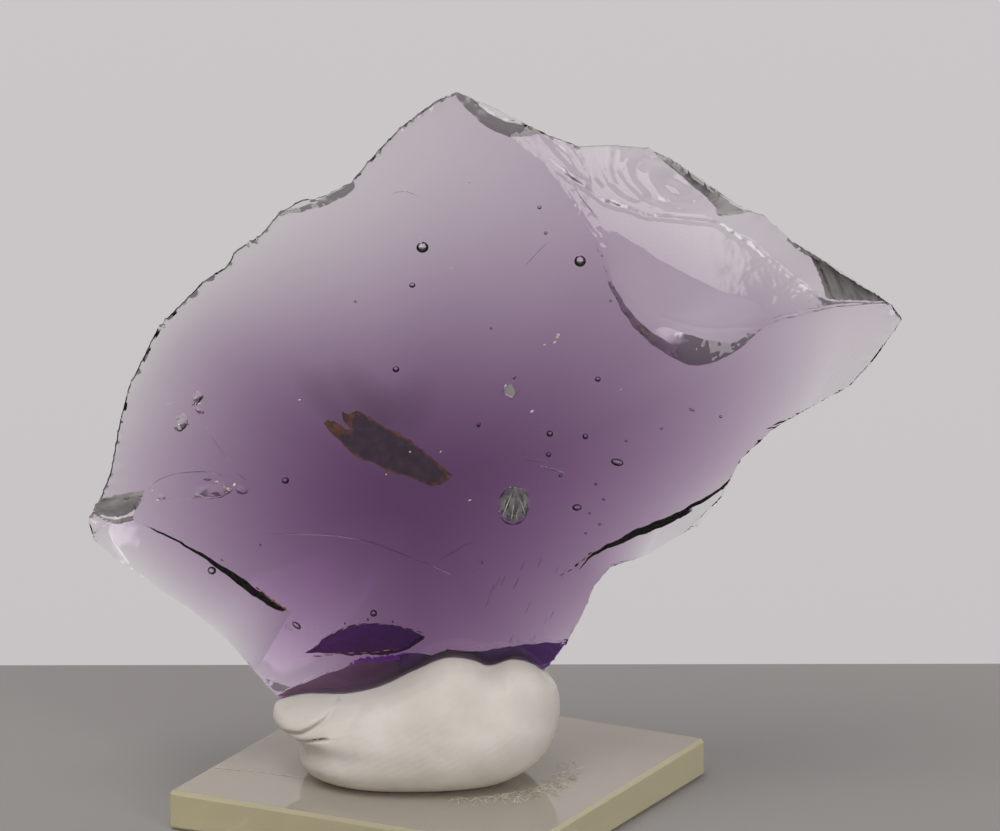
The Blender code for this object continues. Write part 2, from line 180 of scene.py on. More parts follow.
def addWorld(settings):
    world = bpy.data.worlds.new("studio")
    bpy.context.scene.world = world
    world.use_nodes = True
    tree = world.node_tree
    background = tree.nodes["Background"]
    coordinates = addNode(tree, "ShaderNodeTexCoord")
    split = addNode(tree, "ShaderNodeSeparateXYZ")
    rise = addNode(tree, "ShaderNodeMapRange", {"From Min": -1.0, "From Max": 1.0})
    ramp = addNode(tree, "ShaderNodeValToRGB")
    stops = [
        (0.0, settings["ground"]),
        (settings["groundAt"] / 2 + 0.5, settings["ground"]),
        (settings["wallEnd"] / 2 + 0.5, settings["wallLow"]),
        (settings["wallLowAt"] / 2 + 0.5, settings["wallLow"]),
        (settings["wallHighAt"] / 2 + 0.5, settings["wallHigh"]),
        (settings["ceilingFrom"] / 2 + 0.5, settings["wallHigh"]),
        (settings["ceilingAt"] / 2 + 0.5, settings["ceiling"]),
    ]
    while len(ramp.color_ramp.elements) < len(stops):
        ramp.color_ramp.elements.new(0.5)
    for element, (place, colour) in zip(ramp.color_ramp.elements, stops):
        element.position = place
        element.color = (*colour, 1.0)
    ends = {"From Min": settings["roomFrom"], "From Max": settings["roomAt"]}
    front = addNode(tree, "ShaderNodeMapRange", ends)
    mix = addNode(tree, "ShaderNodeMix", data_type="RGBA")
    mix.inputs["B"].default_value = (*settings["room"], 1.0)
    wire(
        tree, (coordinates.outputs["Generated"], split.inputs[0]), (split.outputs["Z"], rise.inputs["Value"]),
        (rise.outputs["Result"], ramp.inputs["Fac"]), (split.outputs["Y"], front.inputs["Value"]),
        (front.outputs["Result"], mix.inputs["Factor"]), (ramp.outputs["Color"], mix.inputs["A"]),
        (mix.outputs["Result"], background.inputs["Color"]),
    )
    background.inputs["Strength"].default_value = 1.0
    shine = background.outputs["Background"]
    for direction, begins, full, brightness in settings["lamps"]:
        facing = addNode(tree, "ShaderNodeVectorMath", operation="DOT_PRODUCT")
        facing.inputs[1].default_value = Vector(direction).normalized()
        ends = {"From Min": begins, "From Max": full, "To Max": brightness}
        spread = addNode(tree, "ShaderNodeMapRange", ends, interpolation_type="SMOOTHSTEP")
        lamp = addNode(tree, "ShaderNodeBackground", {"Color": (1.0, 0.98, 0.97, 1.0)})
        both = addNode(tree, "ShaderNodeAddShader")
        wire(
            tree, (coordinates.outputs["Generated"], facing.inputs[0]),
            (facing.outputs["Value"], spread.inputs["Value"]),
            (spread.outputs["Result"], lamp.inputs["Strength"]),
            (shine, both.inputs[0]), (lamp.outputs["Background"], both.inputs[1]),
        )
        shine = both.outputs["Shader"]
    wire(tree, (shine, tree.nodes["World Output"].inputs["Surface"]))


def addSoftbox(name, settings):
    data = bpy.data.lights.new(name, "AREA")
    data.shape = "RECTANGLE"
    data.size, data.size_y = settings["size"]
    data.energy = settings["watts"]
    data.color = settings["colour"]
    obj = bpy.data.objects.new(name, data)
    obj.location = settings["place"]
    towards = Vector(settings["target"]) - Vector(settings["place"])
    obj.rotation_euler = towards.to_track_quat("-Z", "Y").to_euler()
    bpy.context.scene.collection.objects.link(obj)


addWorld(light)
addSoftbox("overhead_softbox", light["softbox"])
bpy.context.scene.view_settings.view_transform = "Standard"
print("light set")


flake = {
    "outline": [
        (22.4, 25.3), (24.0, 28.6), (26.5, 31.0), (29.0, 32.5), (32.4, 34.4), (34.0, 36.1),
        (36.0, 39.0), (36.6, 40.0), (35.7, 41.2), (32.2, 43.6), (28.2, 46.0), (25.7, 48.3),
        (24.3, 48.7), (21.0, 51.1), (18.7, 52.8), (16.6, 53.8), (13.7, 54.1), (11.3, 54.0),
        (8.7, 55.0), (6.4, 56.2), (3.9, 57.5), (1.5, 58.5), (-0.1, 57.8), (-3.0, 55.6),
        (-4.9, 53.5), (-6.8, 51.2), (-9.1, 50.0), (-10.7, 49.7), (-12.4, 48.8), (-13.8, 47.0),
        (-15.8, 45.7), (-16.7, 44.3), (-18.5, 43.1), (-20.2, 41.3), (-22.0, 39.5), (-23.2, 37.0),
        (-24.4, 34.5), (-25.1, 31.8), (-25.9, 27.5), (-26.7, 25.4), (-27.7, 23.5), (-27.2, 21.8),
        (-25.4, 20.2), (-22.7, 18.2), (-19.8, 16.3), (-16.9, 13.8), (-14.9, 11.3), (-12.9, 9.0),
        (-9.5, 7.6), (-5.0, 7.3), (0.0, 8.2), (5.0, 9.4), (8.6, 11.2), (10.3, 13.6), (11.4, 15.7),
        (12.4, 18.3), (13.7, 19.9), (16.8, 20.8), (18.6, 21.9), (20.7, 23.1),
    ],
    "summit": (-2.2, 24.4),
    "thickness": 7.5,
    "frontShare": 0.42,
    "rounding": 0.18,
    # direction in degrees, reach to the rim, rim thickness, power of the fall
    "fall": [
        (-180, 25.0, 0.5, 1.08), (-160, 20.8, 0.85, 0.90), (-140, 18.6, 1.0, 0.90),
        (-120, 17.4, 1.9, 1.05), (-100, 15.2, 4.5, 1.30), (-80, 14.2, 4.6, 1.00),
        (-60, 16.0, 2.2, 0.62), (-40, 17.6, 0.3, 0.58), (-20, 18.6, 0.15, 0.56),
        (0, 23.6, 0.2, 0.68), (15, 32.5, 0.35, 0.92), (24, 36.8, 0.6, 1.15), (32, 38.2, 1.8, 1.8),
        (45, 36.5, 2.1, 2.3), (60, 34.5, 1.6, 2.45), (80, 32.4, 0.9, 2.25), (100, 28.6, 0.5, 1.95),
        (120, 25.8, 0.3, 1.40), (140, 24.8, 0.2, 0.98), (160, 24.6, 0.2, 0.98),
    ],
    "segments": 840,
    "rings": 60,
    "bowlGrid": {"u_segments": 48, "v_segments": 32},
    "bubbleGrid": {"u_segments": 28, "v_segments": 18},
    "crowding": 1.6,  # how the rings gather at the rim
    "rimWander": 0.12,  # how far the rim leaves the middle plane, and the faces their curve
    "faceWander": 0.02,
    "bowlRough": 0.22,  # in shares of a bowl's depth
    # retouch along the rim: half width, length into the face and depth of each small chip
    "chipWidth": (0.22, 1.0),
    "chipLength": (0.35, 1.3),
    "chipDepth": (0.03, 0.22),
    "chipBite": 0.17,
    # bowl scars: place (x, z), side, depth, lean of what it faces, run, half sizes along, across and deep
    "bowls": {
        "crescentPit": ((-17.7, 26.7), -1, 0.30, (-0.1, -0.5), (1.0, 0.25), (1.75, 0.75, 0.8)),
        "brightPit": ((-15.7, 26.4), -1, 0.22, (0.3, 0.4), (1.0, -0.3), (0.6, 0.45, 0.5)),
        "smallPit": ((-18.3, 27.4), -1, 0.12, (0.0, -0.4), (1.0, 0.1), (0.4, 0.2, 0.3)),
        "upperPit": ((-19.2, 33.6), -1, 0.22, (0.2, 0.3), (0.6, 1.0), (0.85, 0.5, 0.5)),
        "upperPitLow": ((-18.7, 32.8), -1, 0.14, (-0.3, 0.2), (1.0, -0.6), (0.45, 0.3, 0.4)),
        "curledPit": ((-20.5, 31.5), -1, 0.30, (0.2, 0.45), (0.5, 1.0), (1.0, 0.55, 0.6)),
        "nearTipPit": ((-22.0, 25.6), -1, 0.12, (0.25, 0.35), (1.0, 0.2), (0.42, 0.3, 0.35)),
        "topFleckPit": ((5.9, 35.6), -1, 0.10, (0.2, 0.4), (0.4, 1.0), (0.4, 0.2, 0.3)),
    },
    # fluted chips: side, where the blow fell, and the ends of the flutes (x, z, depth under the face)
    "flutes": {
        "shellChip": (-1, (6.3, 27.0), [
            (5.6, 27.0, 0.1), (5.1, 26.6, 0.35), (4.75, 26.0, 0.12), (4.65, 25.2, 0.5), (4.9, 24.5, 0.2),
            (5.3, 24.0, 0.6), (5.9, 23.8, 0.25), (6.5, 23.95, 0.6), (6.95, 24.4, 0.2), (7.2, 25.1, 0.4),
            (7.3, 25.9, 0.1), (7.0, 26.6, 0.2),
        ]),
        "kneeChip": (-1, (5.4, 35.3), [
            (5.2, 35.0, 0.05), (5.3, 34.4, 0.22), (5.9, 34.1, 0.2), (6.1, 34.6, 0.08), (5.8, 35.2, 0.02),
        ]),
    },
    # hairline steps and scratches on a face: side, half width, depth, route of (x, z)
    "scratches": {
        "slantScratch": (-1, 0.07, 0.045, [(6.7, 44.5), (7.6, 45.5), (8.8, 46.8)]),
        "shortScratch": (-1, 0.09, 0.05, [(8.0, 28.7), (9.1, 28.4), (10.1, 28.0)]),
        "shortScratchTwo": (-1, 0.05, 0.03, [(6.9, 29.2), (7.6, 29.1), (8.3, 28.9)]),
        "leftArc": (-1, 0.06, 0.03, [(-18.6, 32.2), (-17.8, 30.7), (-16.9, 29.4), (-15.9, 28.1)]),
        "tipCurl": (-1, 0.07, 0.04, [(-16.2, 28.0), (-15.4, 27.6), (-14.9, 26.9), (-15.2, 26.2)]),
        "leftLoopTop": (-1, 0.07, 0.05, [(-23.0, 26.4), (-21.8, 27.3), (-20.0, 27.8), (-18.0, 27.9),
                                         (-16.4, 27.5)]),
        "leftLoopLow": (-1, 0.06, 0.035, [(-22.8, 26.0), (-21.3, 25.6), (-19.8, 25.6), (-18.6, 25.9)]),
        "lowerArc": (-1, 0.08, 0.05, [
            (-16.9, 22.5), (-13.0, 23.0), (-8.2, 23.0), (-5.4, 22.6), (-3.0, 21.7), (-0.4, 20.6), (1.9, 19.3),
        ]),
        "lowerArcTwo": (-1, 0.07, 0.04, [(-0.6, 20.7), (0.8, 21.5), (2.2, 22.3), (3.5, 22.8)]),
        "crestScratch": (-1, 0.05, 0.03, [(-3.6, 50.4), (-2.6, 50.6), (-1.4, 50.2)]),
    },
    # fine hackle below the middle: how many, box of (x, z), direction, half lengths, half width, depth
    "hackle": (26, (1.5, 13.8, 13.0, 20.0), (0.45, 1.0), (0.3, 0.9), 0.05, 0.03),
    # bubbles in the glass: (x, z), share of the way from the front to the back, half sizes, turn in degrees
    "bubbles": [
        (-1.2, 46.0, 0.30, 0.50, 0.46, 0), (-2.0, 42.9, 0.35, 0.25, 0.22, 0),
        (11.2, 44.9, 0.30, 0.48, 0.48, 0), (8.0, 49.2, 0.40, 0.17, 0.15, 0),
        (8.5, 47.1, 0.45, 0.15, 0.13, 0), (3.2, 31.7, 0.25, 0.22, 0.16, 70),
        (8.8, 30.9, 0.30, 0.27, 0.27, 0), (11.6, 30.6, 0.35, 0.24, 0.24, 0),
        (8.7, 29.2, 0.30, 0.22, 0.20, 0), (14.1, 28.5, 0.35, 0.52, 0.30, -14),
        (10.9, 24.8, 0.40, 0.38, 0.28, 0), (-12.0, 27.1, 0.30, 0.30, 0.28, 0),
        (-5.0, 16.0, 0.50, 0.30, 0.30, 0), (-11.2, 15.0, 0.40, 0.42, 0.24, -40),
        (-17.9, 19.5, 0.40, 0.36, 0.34, 0), (-3.3, 36.2, 0.20, 0.28, 0.26, 0),
        (12.6, 35.3, 0.30, 0.24, 0.22, 0), (9.6, 27.3, 0.50, 0.17, 0.15, 0),
        (-8.2, 31.2, 0.60, 0.20, 0.18, 0), (20.0, 32.7, 0.40, 0.26, 0.10, -25),
        (22.3, 32.1, 0.40, 0.14, 0.12, 0), (12.4, 26.7, 0.40, 0.12, 0.12, 0),
        (13.0, 25.4, 0.45, 0.12, 0.10, 0), (11.9, 24.3, 0.40, 0.10, 0.10, 0),
        (12.7, 23.3, 0.50, 0.13, 0.11, 0), (11.6, 22.6, 0.45, 0.11, 0.10, 0),
        (14.8, 30.1, 0.50, 0.11, 0.10, 0), (3.4, 20.3, 0.40, 0.10, 0.10, 0),
        (-6.5, 41.5, 0.50, 0.11, 0.10, 0), (4.2, 39.4, 0.35, 0.10, 0.10, 0),
        (13.6, 41.6, 0.40, 0.11, 0.10, 0), (-14.0, 21.6, 0.50, 0.10, 0.10, 0),
        (17.6, 31.1, 0.50, 0.12, 0.10, 0),
    ],
    # sheet scars: side, least glass left, curves of (x, z, depth) in order; depth is under the face,
    # or under the plane that lies at (x, z, depth under the face) and leans towards (x, z)
    "sheets": {
        "upperRightScar": (-1, 0.45, [
            [(0.0, 58.5, -1.2), (3.3, 55.0, -1.2), (4.8, 53.4, -1.2), (7.4, 51.2, -1.2), (9.9, 47.8, -1.2),
             (11.4, 44.6, -1.2), (12.6, 41.3, -1.2), (15.2, 37.6, -1.2), (20.0, 34.9, -1.2),
             (24.0, 36.2, -1.2), (26.7, 38.2, -1.2), (29.5, 39.1, -1.2), (31.6, 39.6, -1.2),
             (35.6, 40.0, -1.2), (39.0, 40.2, -1.2)],
            [(2.0, 59.8, 0.0), (4.8, 56.0, 0.0), (6.1, 54.6, 0.0), (8.9, 52.1, 0.0), (11.3, 48.5, 0.0),
             (12.8, 45.2, 0.0), (14.0, 41.9, 0.0), (16.4, 38.7, 0.0), (20.1, 36.5, 0.0), (23.5, 37.6, 0.0),
             (26.0, 39.6, 0.0), (29.1, 40.5, 0.0), (31.2, 41.0, 0.0), (35.4, 41.4, 0.0), (38.8, 41.6, 0.0)],
            [(2.3, 60.0, 0.1), (5.0, 56.1, 0.1), (6.4, 54.7, 0.1), (9.2, 52.2, 0.1), (11.6, 48.6, 0.15),
             (13.2, 45.4, 0.3), (14.3, 42.0, 0.7), (16.8, 39.1, 1.1), (20.0, 37.6, 0.75), (23.4, 37.9, 0.3),
             (25.9, 39.8, 0.14), (29.1, 40.7, 0.12), (31.2, 41.1, 0.1), (35.4, 41.5, 0.1),
             (38.8, 41.7, 0.1)],
            [(2.5, 60.2, 0.14), (5.1, 56.2, 0.14), (6.6, 54.8, 0.14), (9.5, 52.3, 0.15), (12.0, 48.7, 0.22),
             (13.8, 45.6, 0.42), (14.9, 42.2, 0.8), (17.2, 39.9, 1.12), (20.3, 38.5, 1.35),
             (23.4, 38.2, 0.62), (25.8, 40.0, 0.2), (29.1, 40.8, 0.15), (31.2, 41.15, 0.12),
             (35.4, 41.55, 0.12), (38.8, 41.75, 0.12)],
            [(2.6, 60.3, 0.16), (5.2, 56.3, 0.16), (6.7, 54.9, 0.16), (9.7, 52.2, 0.17), (12.2, 48.7, 0.25),
             (14.2, 45.8, 0.46), (16.0, 42.8, 0.8), (18.1, 40.8, 1.02), (20.7, 39.7, 1.22),
             (23.5, 39.3, 0.75), (25.9, 40.1, 0.22), (29.1, 40.85, 0.16), (31.2, 41.2, 0.13),
             (35.4, 41.6, 0.13), (38.8, 41.8, 0.13)],
            [(2.8, 60.4, 0.2), (5.3, 56.4, 0.2), (6.9, 55.0, 0.2), (10.0, 52.0, 0.22), (12.6, 48.4, 0.34),
             (15.2, 46.5, 0.54), (17.9, 44.7, 0.72), (20.6, 43.1, 0.85), (23.2, 42.0, 0.85),
             (25.0, 41.4, 0.7), (26.2, 40.4, 0.28), (29.2, 40.9, 0.18), (31.25, 41.25, 0.14),
             (35.4, 41.65, 0.14), (38.8, 41.85, 0.14)],
            [(3.2, 60.8, 0.3), (5.8, 56.8, 0.3), (7.6, 55.3, 0.3), (10.8, 51.7, 0.4), (14.3, 49.3, 0.75),
             (16.5, 48.6, 1.0), (18.9, 48.1, 1.35), (21.9, 47.6, 1.65), (24.4, 45.9, 1.55),
             (26.2, 44.5, 1.35), (28.0, 43.2, 1.1), (29.6, 42.2, 0.85), (31.3, 41.4, 0.5),
             (35.4, 41.75, 0.18), (38.8, 41.95, 0.18)],
            [(3.3, 61.0, 0.3), (6.0, 57.0, 0.3), (7.9, 55.5, 0.3), (11.1, 52.0, 0.45), (14.6, 49.9, 0.88),
             (16.9, 49.1, 1.15), (19.3, 48.5, 1.48), (22.3, 48.0, 1.8), (24.8, 46.3, 1.7),
             (26.6, 44.8, 1.45), (28.3, 43.4, 1.17), (29.8, 42.3, 0.9), (31.4, 41.5, 0.5),
             (35.5, 41.85, 0.18), (38.9, 42.05, 0.18)],
            [(4.2, 62.0, 0.5), (7.3, 58.2, 0.5), (9.6, 57.0, 0.8), (13.4, 56.2, 1.35), (17.6, 55.0, 1.6),
             (20.6, 53.2, 1.3), (23.0, 51.6, 1.5), (26.1, 49.8, 1.6), (29.0, 47.8, 1.4), (31.0, 46.4, 1.1),
             (33.0, 45.0, 0.8), (34.6, 44.0, 0.4), (36.5, 43.2, 0.3), (38.6, 43.0, 0.3), (41.0, 43.0, 0.3)],
        ]),
        "rightTipFacet": (-1, 0.12, [
            [(27.6, 45.6, 0.2), (29.2, 44.2, 0.2), (30.2, 42.8, -1.0), (31.0, 41.3, -3.0),
             (33.3, 41.1, -3.0), (36.4, 41.0, -3.0)],
            [(28.1, 46.2, 1.45), (29.7, 44.8, 1.3), (30.7, 43.3, 1.1), (31.3, 41.6, 0.66),
             (33.3, 41.4, 0.32), (36.4, 41.3, 0.2)],
            [(30.2, 48.4, 1.8), (32.2, 46.8, 1.75), (34.0, 45.4, 1.55), (35.6, 44.4, 1.3),
             (37.2, 43.4, 1.1), (39.0, 42.6, 0.8)],
        ]),
        "smallRimFacet": (-1, 0.3, [
            [(20.2, 47.6, -1.0), (21.6, 46.6, -1.0), (23.6, 46.8, -1.0), (25.2, 46.6, -1.0)],
            [(21.3, 48.6, 0.9), (22.0, 48.0, 1.45), (23.4, 48.2, 1.45), (24.6, 48.0, 0.9)],
            [(22.4, 50.4, 3.2), (23.1, 49.9, 3.4), (24.4, 49.9, 3.4), (25.6, 49.6, 3.0)],
        ]),
        "upperRimStrip": (-1, 0.2, [
            [(16.4, 52.6, -3.0), (18.6, 51.2, -3.0), (20.6, 49.4, -3.0), (22.4, 48.2, -3.0)],
            [(16.7, 53.2, 0.9), (18.9, 51.8, 1.35), (20.7, 50.1, 1.35), (22.6, 48.6, 1.2)],
            [(17.6, 54.8, 2.6), (19.6, 53.4, 2.8), (21.8, 51.8, 2.8), (24.2, 50.2, 2.6)],
        ]),
        "peakFacet": (-1, 0.15, [
            [(-0.5, 57.8, -1.2), (1.2, 55.8, -1.2), (3.4, 54.3, -1.2), (5.6, 53.7, -1.2), (7.6, 53.6, -1.2)],
            [(0.6, 59.3, 0.0), (2.4, 57.2, 0.05), (4.1, 55.8, 0.1), (6.1, 55.1, 0.25), (8.2, 55.2, 0.35)],
            [(2.4, 63.0, 3.8), (4.2, 60.8, 3.4), (5.9, 59.3, 3.4), (7.9, 58.6, 3.4), (10.0, 58.6, 3.4)],
        ]),
        "upperLeftSliver": (-1, 0.12, [
            [(-13.0, 46.5, -1.0), (-9.9, 47.4, -1.0), (-7.6, 48.0, -1.0), (-5.2, 49.6, -1.0),
             (-3.9, 51.9, -1.0)],
            [(-14.0, 48.0, 0.0), (-10.4, 48.9, 0.0), (-8.4, 49.5, 0.0), (-6.6, 50.7, 0.0), (-5.6, 52.8, 0.0)],
            [(-15.4, 50.6, 2.2), (-11.6, 51.6, 2.2), (-9.6, 52.2, 2.2), (-8.6, 53.0, 2.2), (-8.0, 54.4, 2.2)],
        ]),
        "leftTipFacet": (-1, 0.12, [
            [(-28.6, 25.6, -3.0), (-26.3, 26.2, -3.0), (-25.2, 25.8, -3.0), (-22.7, 26.7, -3.0)],
            [(-28.4, 25.0, 0.0), (-26.2, 25.7, 0.0), (-25.3, 25.4, 0.0), (-23.0, 26.3, 0.0)],
            [(-28.2, 24.2, 0.0), (-27.0, 24.2, 0.0), (-25.4, 24.4, 0.0), (-23.7, 25.0, 0.0)],
            [(-27.5, 24.3, 0.0), (-26.1, 23.5, 0.0), (-25.2, 23.5, 0.0), (-24.3, 23.8, 0.0)],
            [(-27.4, 24.2, -0.3), (-26.0, 23.4, -0.5), (-25.1, 23.4, -0.5), (-24.2, 23.7, -0.5)],
            [(-27.2, 23.9, -3.0), (-25.9, 23.2, -3.0), (-25.0, 23.2, -3.0), (-24.0, 23.5, -3.0)],
        ], (-25.4, 25.4, 0.0, -0.05, -0.50)),
        "lowerLeftStep": (1, 0.12, [
            [(-9.6, 17.6, -1.2), (-11.2, 18.3, -1.2), (-13.4, 19.9, -1.2), (-15.7, 21.2, -1.2),
             (-19.3, 23.1, -1.2), (-23.4, 25.2, -1.2), (-27.6, 27.2, -1.2)],
            [(-11.2, 15.5, 0.0), (-12.5, 16.4, 0.0), (-14.6, 18.0, 0.0), (-16.8, 19.5, 0.0),
             (-20.5, 21.7, 0.0), (-24.4, 23.6, 0.0), (-28.5, 25.6, -0.6)],
            [(-11.6, 15.6, 0.0), (-12.8, 16.1, 0.45), (-14.9, 17.5, 0.9), (-17.0, 19.2, 0.6),
             (-20.6, 21.6, 0.26), (-24.5, 23.5, 0.06), (-28.6, 25.5, -0.6)],
            [(-14.4, 8.0, -0.6), (-17.0, 9.6, 0.6), (-19.3, 11.2, 1.35), (-21.5, 12.4, 1.45),
             (-25.5, 14.4, 1.3), (-29.0, 16.5, 0.95), (-33.5, 18.4, 0.6)],
        ]),
        "lowerRightStep": (1, 0.3, [
            [(26.4, 32.0, -1.2), (22.9, 29.6, -1.2), (20.6, 27.6, -1.2), (17.4, 25.6, -1.2),
             (13.9, 24.0, -1.2), (11.6, 22.4, -1.2), (10.0, 20.8, -1.2)],
            [(26.9, 30.0, 0.0), (24.0, 28.0, 0.0), (21.9, 25.9, 0.0), (18.4, 23.9, 0.0), (14.8, 22.2, 0.0),
             (12.2, 20.7, 0.0), (10.8, 19.2, 0.0)],
            [(27.0, 29.9, 0.5), (24.15, 27.8, 1.2), (22.1, 25.5, 1.6), (18.6, 23.5, 1.9), (14.95, 21.9, 1.3),
             (12.3, 20.55, 0.5), (10.85, 19.15, 0.02)],
            [(30.6, 22.2, 0.7), (27.1, 19.1, 1.2), (24.1, 17.3, 1.6), (20.6, 15.5, 2.0), (17.1, 13.8, 1.4),
             (15.2, 12.7, 0.3), (13.1, 11.2, -0.6)],
        ]),
        "bottomLeftFacet": (1, 0.5, [
            [(-2.9, 13.2, -3.0), (-6.2, 12.6, -3.0), (-8.6, 11.7, -3.0), (-10.8, 10.7, -3.0),
             (-13.4, 9.4, -3.0)],
            [(-3.0, 12.1, -3.0), (-6.1, 11.9, -3.0), (-8.5, 11.1, -3.0), (-10.5, 10.2, -3.0),
             (-13.0, 9.0, -3.0)],
            [(-3.0, 12.0, 0.0), (-6.1, 11.8, 0.0), (-8.5, 11.0, 0.0), (-10.5, 10.1, 0.0), (-13.0, 8.9, 0.0)],
            [(-3.0, 8.6, 0.0), (-6.1, 8.2, 0.0), (-8.5, 7.6, 0.0), (-10.5, 7.0, 0.0), (-13.0, 6.0, 0.0)],
            [(-3.0, 8.4, -3.0), (-6.1, 8.0, -3.0), (-8.5, 7.4, -3.0), (-10.5, 6.8, -3.0), (-13.0, 5.8, -3.0)],
        ], (-7.0, 8.0, 0.35, -0.12, 0.47)),
        "bottomPatch": (1, 0.5, [
            [(1.0, 12.6, -3.0), (-0.4, 13.3, -3.0), (-1.8, 13.6, -3.0), (-3.9, 12.9, -3.0)],
            [(0.5, 11.7, -3.0), (-0.4, 12.3, -3.0), (-1.8, 12.6, -3.0), (-3.5, 12.1, -3.0)],
            [(0.5, 11.6, 0.0), (-0.4, 12.2, 0.0), (-1.8, 12.5, 0.0), (-3.4, 12.0, 0.0)],
            [(1.0, 9.0, 0.0), (-0.4, 9.0, 0.0), (-1.8, 8.8, 0.0), (-4.4, 8.6, 0.0)],
            [(1.0, 8.8, -3.0), (-0.4, 8.8, -3.0), (-1.8, 8.6, -3.0), (-4.4, 8.4, -3.0)],
        ], (-1.5, 10.2, 0.0, 0.12, 0.53)),
        "bottomRightFacet": (1, 0.45, [
            [(12.5, 15.6, -3.0), (10.4, 14.9, -3.0), (6.9, 14.6, -3.0), (3.3, 13.9, -3.0), (0.1, 14.0, -3.0)],
            [(12.4, 13.7, -3.0), (10.2, 13.6, -3.0), (6.9, 13.5, -3.0), (3.3, 12.9, -3.0), (0.5, 13.0, -3.0)],
            [(12.4, 13.6, 0.0), (10.2, 13.5, 0.0), (6.9, 13.4, 0.0), (3.3, 12.8, 0.0), (0.5, 12.9, 0.0)],
            [(12.4, 9.8, 0.0), (10.2, 9.4, 0.0), (6.9, 9.0, 0.0), (3.3, 8.8, 0.0), (0.5, 8.6, 0.0)],
            [(12.4, 9.6, -3.0), (10.2, 9.2, -3.0), (6.9, 8.8, -3.0), (3.3, 8.6, -3.0), (0.5, 8.4, -3.0)],
        ], (5.0, 10.9, 0.25, 0.08, 0.42)),
        "bottomLens": (1, 0.8, [
            [(-11.2, 13.2, -3.0), (-8.9, 15.6, -3.0), (-5.7, 16.4, -3.0), (-2.6, 16.1, -3.0),
             (-0.2, 14.8, -3.0)],
            [(-10.8, 12.2, -3.0), (-8.2, 14.3, -3.0), (-5.7, 15.0, -3.0), (-3.2, 14.8, -3.0),
             (-1.1, 13.9, -3.0)],
            [(-10.7, 12.1, 0.0), (-8.2, 14.2, 0.0), (-5.7, 14.9, 0.0), (-3.2, 14.7, 0.0), (-1.1, 13.8, 0.0)],
            [(-10.7, 11.9, 0.0), (-7.9, 11.8, 0.0), (-5.6, 12.1, 0.0), (-3.2, 12.2, 0.0), (-1.1, 13.6, 0.0)],
            [(-10.7, 11.8, -3.0), (-7.8, 11.7, -3.0), (-5.6, 12.0, -3.0), (-3.2, 12.1, -3.0),
             (-1.1, 13.5, -3.0)],
        ], (-5.6, 12.2, 0.2, -0.15, 0.42)),
    },
    "cutterReach": 12.0,  # how far from the middle plane a cutter's outer side stands
    "sheetGrain": 0.2,
    "fineGrain": {"upperRightScar": 0.14},
    # ripples spread in the big scar, above its crest, from where the blow fell
    "ripples": {
        "centre": (18.6, 50.7), "turn": math.radians(-32.0), "stretch": 1.9, "gap": 1.0,
        "height": 0.055, "reach": 3.4,
    },
    "crest": [(2.0, 58.6), (5.0, 55.3), (8.5, 51.8), (10.6, 50.6), (14.3, 49.2), (16.4, 48.3), (18.9, 48.0),
              (22.0, 47.5), (24.3, 45.9), (27.3, 43.3), (31.2, 41.0)],
    # raised lines in the big scar: height, half width, route of (x, z)
    "scarRidges": [
        (0.09, 0.17, [(3.0, 57.4), (5.0, 55.3), (6.8, 53.4), (8.5, 51.8), (9.4, 50.8), (11.3, 48.6),
                      (12.6, 46.8)]),
        (0.07, 0.17, [(8.3, 51.9), (8.8, 52.5), (10.2, 51.7), (11.9, 50.6), (13.1, 49.5), (14.3, 49.1)]),
        (0.05, 0.12, [(10.2, 54.6), (11.4, 53.0), (11.9, 51.3), (11.6, 49.9), (11.1, 48.7)]),
        (0.035, 0.11, [(9.0, 54.6), (10.4, 53.4), (11.2, 52.0)]),
        (0.06, 0.20, [(13.4, 49.6), (14.6, 49.1), (16.4, 48.35), (18.9, 48.05), (22.0, 47.6), (24.3, 46.0),
                      (27.3, 43.4), (30.4, 41.3)]),
        (0.07, 0.20, [(14.4, 52.2), (14.9, 51.2), (16.0, 50.0), (17.8, 49.5), (20.4, 49.3), (21.0, 50.0),
                      (20.0, 51.3), (18.0, 52.6), (16.2, 53.1)]),
        (0.04, 0.16, [(12.9, 52.4), (13.6, 51.0), (15.0, 49.9)]),
        (0.05, 0.14, [(17.8, 40.2), (19.9, 39.4), (21.6, 39.2), (24.1, 39.4), (25.6, 39.6)]),
    ],
    # facets where the glass looks darker, and their tint: painted shade, put into the glass's surface colour
    "tints_and_painted_light": {
        "bottomLens": (0.09, 0.006, 0.30), "bottomPatch": (0.13, 0.018, 0.42),
        "bottomRightFacet": (0.045, 0.005, 0.18), "bottomLeftFacet": (0.38, 0.13, 0.40),
    },
    "surface": {"Roughness": 0.0, "Transmission Weight": 1.0, "IOR": 1.5},
    "volume": {"Color": (0.540, 0.345, 0.577, 1.0), "Density": 533.0},
    "sharpAngle": math.radians(16.0),
    "rimSeed": 11,
    "hackleSeed": 3,
}


def smoothBetween(rows, place):
    # smooth values at a place between the middle two of four rows, each of which starts with its place
    before, low, high, after = rows
    span = high[0] - low[0]
    t = min(max((place - low[0]) / span, 0.0), 1.0)
    values = []
    for p, a, b, q in zip(before[1:], low[1:], high[1:], after[1:]):
        slopeA = (b - p) / (high[0] - before[0]) * span
        slopeB = (q - a) / (after[0] - low[0]) * span
        values.append(
            (2 * t**3 - 3 * t**2 + 1) * a + (t**3 - 2 * t**2 + t) * slopeA
            + (3 * t**2 - 2 * t**3) * b + (t**3 - t**2) * slopeB
        )
    return values


